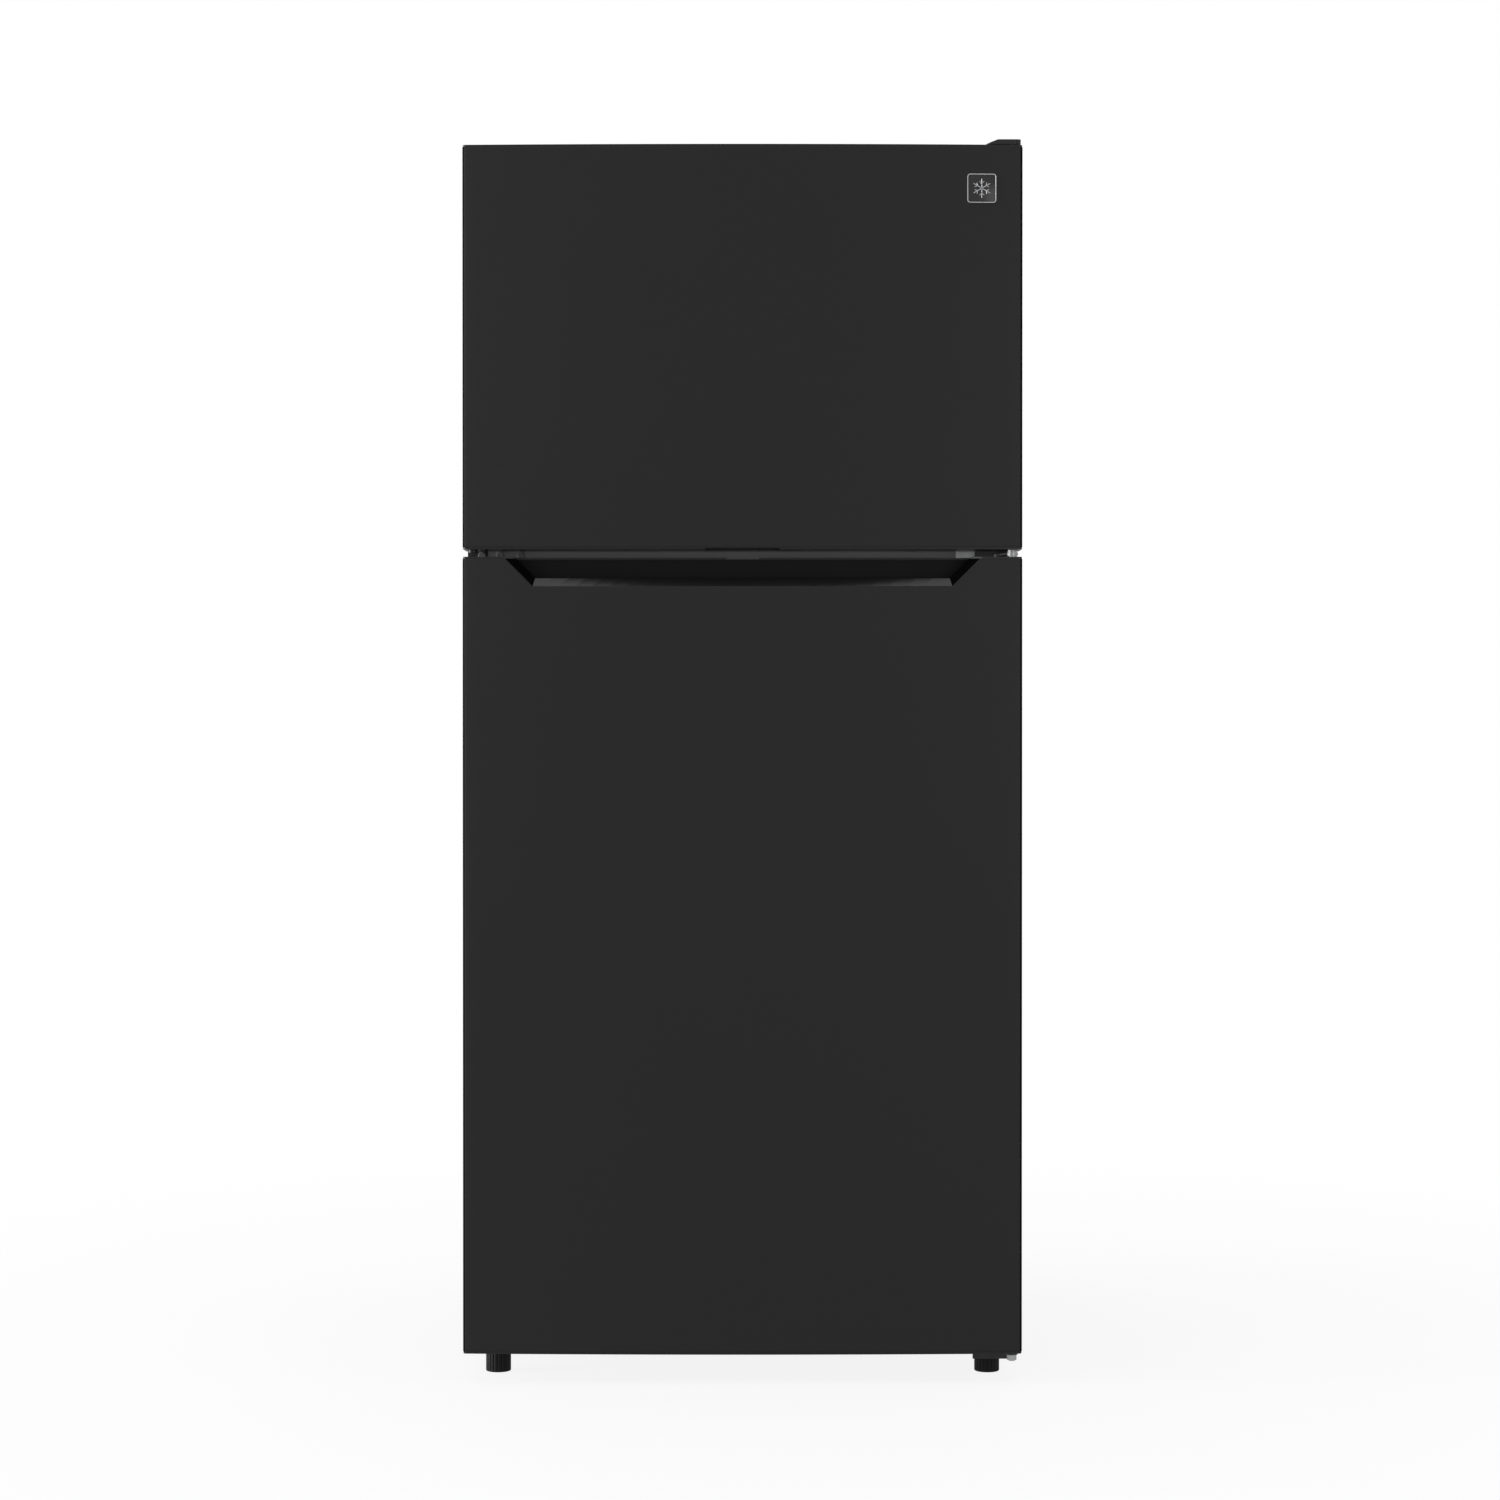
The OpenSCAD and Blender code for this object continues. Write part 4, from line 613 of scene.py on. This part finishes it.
# ---------------------------------------------------------------- levelling feet and rollers
# Black nylon feet, fluted for the fingers, on steel studs that screw into the base. The rear of the cabinet
# rolls on two nylon wheels in zinc plated brackets.
foot_nylon = surface(
    "foot_nylon", (0.008, 0.008, 0.0085), (0.011, 0.011, 0.0115), (0.42, 0.54), (900, 0.5, 0.00003),
    rubbed=((0.03, 0.03, 0.03), 0.5), Specular_IOR_Level=0.25,
)
flute_count, flute_depth = 20, 0.0011
foot_radius, foot_height = 0.0172, 0.043
stud_radius, thread_pitch, thread_depth = 0.005, 0.00125, 0.0006
around_count, around_stud = flute_count * 8, 24
for side in ("left", "right"):
    low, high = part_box(f"{side}_leveling_leg")
    centre_x, centre_y = (low.x + high.x) / 2, (low.y + high.y) / 2
    body = bmesh.new()
    # Each level's height, its growth over the foot's radius, and how deep the flutes are there.
    levels = [(0, -0.0012, 0), (0.0003, -0.0005, 0), (0.0010, 0, 0), (0.0018, 0, 0.4), (0.0030, 0, 1),
              (foot_height - 0.0022, 0, 1), (foot_height - 0.0008, -0.0004, 0.8), (foot_height, -0.0014, 0.2),
              (foot_height, -0.008, 0)]
    rings = []
    for z, grow, depth in levels:
        ring = []
        for i in range(around_count):
            turn = 2 * pi * i / around_count
            flute = max(0.0, cos(turn * flute_count)) ** 3
            reach = foot_radius + grow - flute_depth * depth * flute
            ring.append(body.verts.new((centre_x + reach * cos(turn), centre_y + reach * sin(turn), z)))
        rings.append(ring)
    for lower, upper in zip(rings, rings[1:]):
        for i in range(around_count):
            j = (i + 1) % around_count
            body.faces.new((lower[i], lower[j], upper[j], upper[i]))
    body.faces.new(rings[0][::-1])
    body.faces.new(rings[-1])
    leg = f"{side}_leveling_leg"
    finish_piece(body, f"{side}_foot", foot_nylon, leg, "black_plastic", leg, smooth=50)
    stud = bmesh.new()
    thread_steps = int((high.z - foot_height) / thread_pitch) * 4
    rings = []
    for k in range(thread_steps + 1):
        z = foot_height - 0.0005 + k * (high.z - foot_height) / thread_steps
        ring = []
        for i in range(around_stud):
            turn = 2 * pi * i / around_stud
            phase = (z / thread_pitch - i / around_stud) % 1.0
            reach = stud_radius - thread_depth * abs(2 * phase - 1)
            ring.append(stud.verts.new((centre_x + reach * cos(turn), centre_y + reach * sin(turn), z)))
        rings.append(ring)
    for lower, upper in zip(rings, rings[1:]):
        for i in range(around_stud):
            j = (i + 1) % around_stud
            stud.faces.new((lower[i], lower[j], upper[j], upper[i]))
    stud.faces.new(rings[0][::-1])
    stud.faces.new(rings[-1])
    finish_piece(stud, f"{side}_foot_stud", zinc_plate, leg, "zinc", leg, smooth=25)
    dress(f"rear_roller_{side}", foot_nylon, 0.0005)
dress("roller_brackets", zinc_plate, 0.0004)

# ---------------------------------------------------------------- door skins
# Each door's front and sides are one sheet of steel, wrapped round the foam and painted a satin black.
# The sheet is rolled to a slight bow, and its top and bottom edges are hemmed under the end caps.
door_half_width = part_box("freezer_door_skin")[1].x
door_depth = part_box("freezer_door_skin")[1].y - front_y
door_bow = 0.008
door_corner = 0.005
bow_radius = (door_half_width**2 + door_bow**2) / (2 * door_bow)


def bow_at(x):
    return bow_radius - sqrt(bow_radius**2 - x * x)


def door_outline(inset, stations):
    """Plan of a door's front from left to right: rounded corner, bow, rounded corner."""
    flat = door_half_width - door_corner
    centre_y = bow_radius - sqrt((bow_radius - door_corner) ** 2 - flat**2)
    end_turn = asin(flat / (bow_radius - door_corner))
    radius = door_corner - inset
    corner = [i * (pi / 2 - end_turn) / 8 for i in range(9)]
    left = [(-flat - radius * cos(a), centre_y - radius * sin(a)) for a in corner]
    bow = []
    for x in stations:
        turn = asin(x / bow_radius)
        bow.append(((bow_radius - inset) * sin(turn), bow_radius - (bow_radius - inset) * cos(turn)))
    right = [(-x, y) for x, y in reversed(left)]
    return left + bow + right


def sheet_wrap(z_low, top_at, stations, sheet=0.001, hem=0.0006):
    """The bent sheet of a door, closed all round, whose top edge follows top_at(x)."""
    bm = bmesh.new()
    levels = [(0, hem), (0.0002, hem * 0.3), (hem, 0), (0.004, 0)]
    outer_plans = {inset: door_outline(inset, stations) for _, inset in levels}
    inner = door_outline(sheet, stations)
    base = outer_plans[0]

    def ring(from_bottom, offset, inset):
        points = []
        plan = outer_plans[inset]
        plan = [(-door_half_width + inset, door_depth)] + plan + [(door_half_width - inset, door_depth)]
        back = [(-door_half_width + sheet, door_depth)] + inner + [(door_half_width - sheet, door_depth)]
        steady = [(-door_half_width, door_depth)] + base + [(door_half_width, door_depth)]
        for (x, y), (at, _) in zip(plan, steady):
            z = z_low + offset if from_bottom else top_at(at) - offset
            points.append((x, front_y + y, z))
        for (x, y), (at, _) in reversed(list(zip(back, steady))):
            z = z_low + offset if from_bottom else top_at(at) - offset
            points.append((x, front_y + y, z))
        return [bm.verts.new(p) for p in points]

    rings = [ring(True, offset, inset) for offset, inset in levels]
    rings += [ring(False, offset, inset) for offset, inset in reversed(levels)]
    count = len(rings[0])
    for low, high in zip(rings, rings[1:]):
        for i in range(count):
            j = (i + 1) % count
            bm.faces.new((low[i], low[j], high[j], high[i]))
    half = count // 2
    for edge in (rings[0], rings[-1]):
        for i in range(half - 1):
            bm.faces.new((edge[i], edge[i + 1], edge[count - 2 - i], edge[count - 1 - i]))
    return bm


door_paint = surface(
    "door_paint", (0.0148, 0.0148, 0.0151), (0.0158, 0.0158, 0.0161), (0.44, 0.47), (420, 0.0, 0.000012),
    rubbed=((0.03, 0.03, 0.031), 0.3), drift=1.4, Specular_IOR_Level=0.35,
)
# A near-black, almost glossless copy of the door paint, put on the faces within a few millimetres of each
# upright edge: painted shade, not a real change in the paint.
edge_painted_shade = surface(
    "edge_painted_shade", (0.0022, 0.0022, 0.0023), (0.0030, 0.0030, 0.0031), (0.5, 0.6), (420, 0.0, 0.000012),
    drift=3, Specular_IOR_Level=0.04,
)
edge_shade_width = 0.0026


def paint_edge_shade(sheet):
    """Paints the front faces along both upright corners near black, as painted shade; the real paint is the
    same satin black all round.
    """
    sheet.data.materials.append(edge_painted_shade)
    for face in sheet.data.polygons:
        if abs(face.center.x) > door_half_width - edge_shade_width and face.normal.y < -0.02:
            face.material_index = 1


freezer_low, freezer_high = (corner.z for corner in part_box("freezer_door_skin"))
fridge_low, fridge_high = (corner.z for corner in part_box("fridge_door_skin"))
grip_half_top, grip_height = 0.323, 0.040
door_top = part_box("fridge_door_top_cap")[1].z
grip_stations = [grip_half_top - (door_top - fridge_high), grip_half_top - grip_height]
even_stations = {round(-0.372 + 0.744 * i / 60, 6) for i in range(1, 60)}
stations = sorted(even_stations | {s * x for s in (-1, 1) for x in grip_stations})


def fridge_skin_top(x):
    return max(min(fridge_high, door_top - (grip_half_top - abs(x))), door_top - grip_height)


paint_edge_shade(finish_piece(
    sheet_wrap(freezer_low, lambda x: freezer_high, stations), "freezer_front_sheet", door_paint,
    "freezer_door", "door_paint", "freezer_door_skin",
))
paint_edge_shade(finish_piece(
    sheet_wrap(fridge_low, fridge_skin_top, stations), "fridge_front_sheet", door_paint,
    "fridge_door", "door_paint", "fridge_door_skin",
))

# ---------------------------------------------------------------- end caps and pocket grip
# Black moulded caps close the doors' ends, and the lower door's upper cap has the grip pocket under it.
# They are glossy ABS, clipped into the sheet before the foam is blown in.
cap_plastic = surface(
    "cap_plastic", (0.010, 0.010, 0.0105), (0.012, 0.012, 0.0125), (0.22, 0.3), (900, 0.3, 0.00001),
    rubbed=((0.03, 0.03, 0.03), 0.3), drift=9,
)
for door in ("freezer_door", "fridge_door"):
    for end in ("top", "bottom"):
        dress(f"{door}_{end}_cap", cap_plastic, 0.0004)
grip_plastic = surface(
    "grip_plastic", (0.008, 0.008, 0.0085), (0.0095, 0.0095, 0.01), (0.2, 0.26), (1200, 0.2, 0.000006),
    drift=8,
)
# A darker, duller copy of the grip plastic for the pocket's forward-facing back wall: painted shade for the
# wall that sits in shadow under the upper door.
grip_back_painted_shade = surface(
    "grip_back_painted_shade", (0.006, 0.006, 0.0063), (0.007, 0.007, 0.0073), (0.42, 0.5), (1300, 0.7, 0.00001),
    drift=8, Specular_IOR_Level=0.18,
)
# A near-black, almost glossless copy for the pocket's slanted side faces: painted shade, the sides being the
# same plastic as the lit bevel.
grip_sides_painted_shade = surface(
    "grip_sides_painted_shade", (0.0010, 0.0010, 0.0011), (0.0016, 0.0016, 0.0017), (0.6, 0.7), (1300, 0.7, 0.00001),
    drift=8, Specular_IOR_Level=0.02,
)
pocket = dress("pocket_handle", grip_plastic)
for finish in (grip_back_painted_shade, grip_sides_painted_shade):
    pocket.data.materials.append(finish)
# Forward-facing faces take the back wall's painted shade, sideways-facing faces the sides' painted shade.
for face in pocket.data.polygons:
    if face.normal.y < -0.9:
        face.material_index = 1
    elif abs(face.normal.x) > 0.3:
        face.material_index = 2

# ---------------------------------------------------------------- door linings and bins
# The doors' backs are drawn from the same white sheet as the compartments. Clear bins hook on their ribs, the
# dairy box has a flap, and acetal bushings line the holes for the hinge pins.
dress("freezer_door_liner", liner_white, 0.0016, 3)
dress("fridge_door_liner", liner_white, 0.0016, 3)
dress("freezer_door_bins", clear_styrene, 0.0008)
dress("fridge_door_bins", clear_styrene, 0.0008)
dress("dairy_cover", clear_styrene, 0.0005)
acetal = surface("acetal", (0.62, 0.62, 0.58), (0.68, 0.68, 0.64), (0.35, 0.45), (1500, 0.2, 0.000006))
dress("freezer_door_bushings", acetal, 0.0004)
dress("fridge_door_bushings", acetal, 0.0004)

# ---------------------------------------------------------------- door gaskets
# Soft vinyl seals pressed into the backs of the doors: a flat foot, a folded bellows and a magnet bar that
# holds to the cabinet's front. The corners are welded.


def swept_frame(bm, half_width, z_low, z_high, corner, profile, y_zero, steps=6):
    """Sweeps a closed profile of (inset, depth) points round an upright rectangle with round corners."""
    centres = [(half_width - corner, z_high - corner, 0), (-half_width + corner, z_high - corner, 90),
               (-half_width + corner, z_low + corner, 180), (half_width - corner, z_low + corner, 270)]
    rings = []
    for centre_x, centre_z, start in centres:
        for step in range(steps + 1):
            turn = radians(start + 90 * step / steps)
            ring = []
            for inset, depth in profile:
                reach = corner - inset
                ring.append(bm.verts.new((
                    centre_x + reach * cos(turn), y_zero + depth, centre_z + reach * sin(turn),
                )))
            rings.append(ring)
    count = len(profile)
    for i, ring in enumerate(rings):
        after = rings[(i + 1) % len(rings)]
        for j in range(count):
            k = (j + 1) % count
            bm.faces.new((ring[j], ring[k], after[k], after[j]))


gasket_vinyl = surface(
    "gasket_vinyl", (0.035, 0.035, 0.036), (0.045, 0.045, 0.046), (0.5, 0.62), (700, 0.2, 0.00003), drift=14,
)
# The seal's outline in millimetres, inwards from its outer edge and back from the door.
gasket_profile = [
    (0, 0), (18, 0), (18, 1.6), (14.5, 2.4), (14.3, 3.6), (15.9, 5.0), (14.4, 6.4), (14.6, 7.9), (16.0, 8.3),
    (16.4, 9.0), (16.4, 10.9), (15.8, 11.5), (0.6, 11.5), (0, 10.9), (0, 8.8), (0.7, 8.1), (3.2, 7.8),
    (3.4, 6.4), (1.9, 5.0), (3.5, 3.6), (3.4, 2.4), (0, 1.6),
]
for door in ("freezer", "fridge"):
    low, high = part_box(f"{door}_gasket")
    seal = bmesh.new()
    profile = [(inset / 1000, depth / 1000) for inset, depth in gasket_profile]
    swept_frame(seal, high.x, low.z, high.z, 0.0005, profile, low.y, steps=1)
    finish_piece(
        seal, f"{door}_door_seal", gasket_vinyl, f"{door}_door", "gasket_vinyl", f"{door}_gasket", smooth=50,
    )

# ---------------------------------------------------------------- badge
# A square plate pressed from aluminium and stuck to the upper door: a bright rim, a dark field and a plain
# frost star. It has no lettering.
badge_low, badge_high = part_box("badge")
badge_size = badge_high.z - badge_low.z
badge_x, badge_z = (badge_low.x + badge_high.x) / 2, (badge_low.z + badge_high.z) / 2
badge_turn = asin(badge_x / bow_radius)
badge_out = front_y + bow_at(badge_x)
rim_metal = surface(
    "badge_rim", (0.86, 0.86, 0.87), (0.92, 0.92, 0.93), (0.30, 0.36), (2400, 0.0, 0.000004), Metallic=0.6,
)
field_enamel = surface(
    "badge_field", (0.030, 0.030, 0.031), (0.034, 0.034, 0.035), (0.24, 0.3), (1500, 0.2, 0.000004),
)
star_metal = surface(
    "badge_star", (0.62, 0.63, 0.64), (0.68, 0.69, 0.70), (0.30, 0.36), (2000, 0.0, 0.000004), Metallic=0.6,
)


def on_the_bow(bm):
    """Sets a flat badge part, built round the origin, on the bowed door."""
    bmesh.ops.rotate(bm, verts=bm.verts, cent=(0, 0, 0), matrix=Matrix.Rotation(badge_turn, 3, "Z"))
    bmesh.ops.translate(bm, verts=bm.verts, vec=(badge_x, badge_out, badge_z))
    return bm


half_badge = badge_size / 2
rim = bmesh.new()
swept_frame(rim, half_badge, -half_badge, half_badge, 0.004,
            [(0, 0), (0, -0.0012), (0.0002, -0.0016), (0.0008, -0.0016), (0.0011, -0.0012), (0.0011, 0)], 0)
finish_piece(on_the_bow(rim), "badge_rim", rim_metal, "freezer_door", "badge_metal", "badge")
field = bmesh.new()
half_field = half_badge - 0.001
rounded_bar(field, (-half_field, -0.0009, -half_field), (half_field, 0, half_field), 0.0003)
finish_piece(on_the_bow(field), "badge_field", field_enamel, "freezer_door", "black_plastic", "badge")
star = bmesh.new()
# The bars of one arm: start, length, lean in degrees and width.
arm_bars = ((0.0008, 0.0122, 0, 0.0011), (0.0068, 0.0042, 52, 0.0009), (0.0068, 0.0042, -52, 0.0009))
for arm in range(6):
    turn = Matrix.Rotation(radians(60 * arm + 30), 3, "Y")
    for start, length, lean, width in arm_bars:
        bar = bmesh.new()
        rounded_bar(bar, (0, -0.0013, -width / 2), (length, -0.0008, width / 2), 0.0002, 1)
        tilt = Matrix.Rotation(radians(lean), 3, "Y")
        bmesh.ops.rotate(bar, verts=bar.verts, cent=(0, 0, 0), matrix=tilt)
        bmesh.ops.translate(bar, verts=bar.verts, vec=(start, 0, 0))
        bmesh.ops.rotate(bar, verts=bar.verts, cent=(0, 0, 0), matrix=turn)
        held = bpy.data.meshes.new("arm")
        bar.to_mesh(held)
        bar.free()
        star.from_mesh(held)
        bpy.data.meshes.remove(held)
finish_piece(on_the_bow(star), "badge_star", star_metal, "freezer_door", "badge_metal", "badge")
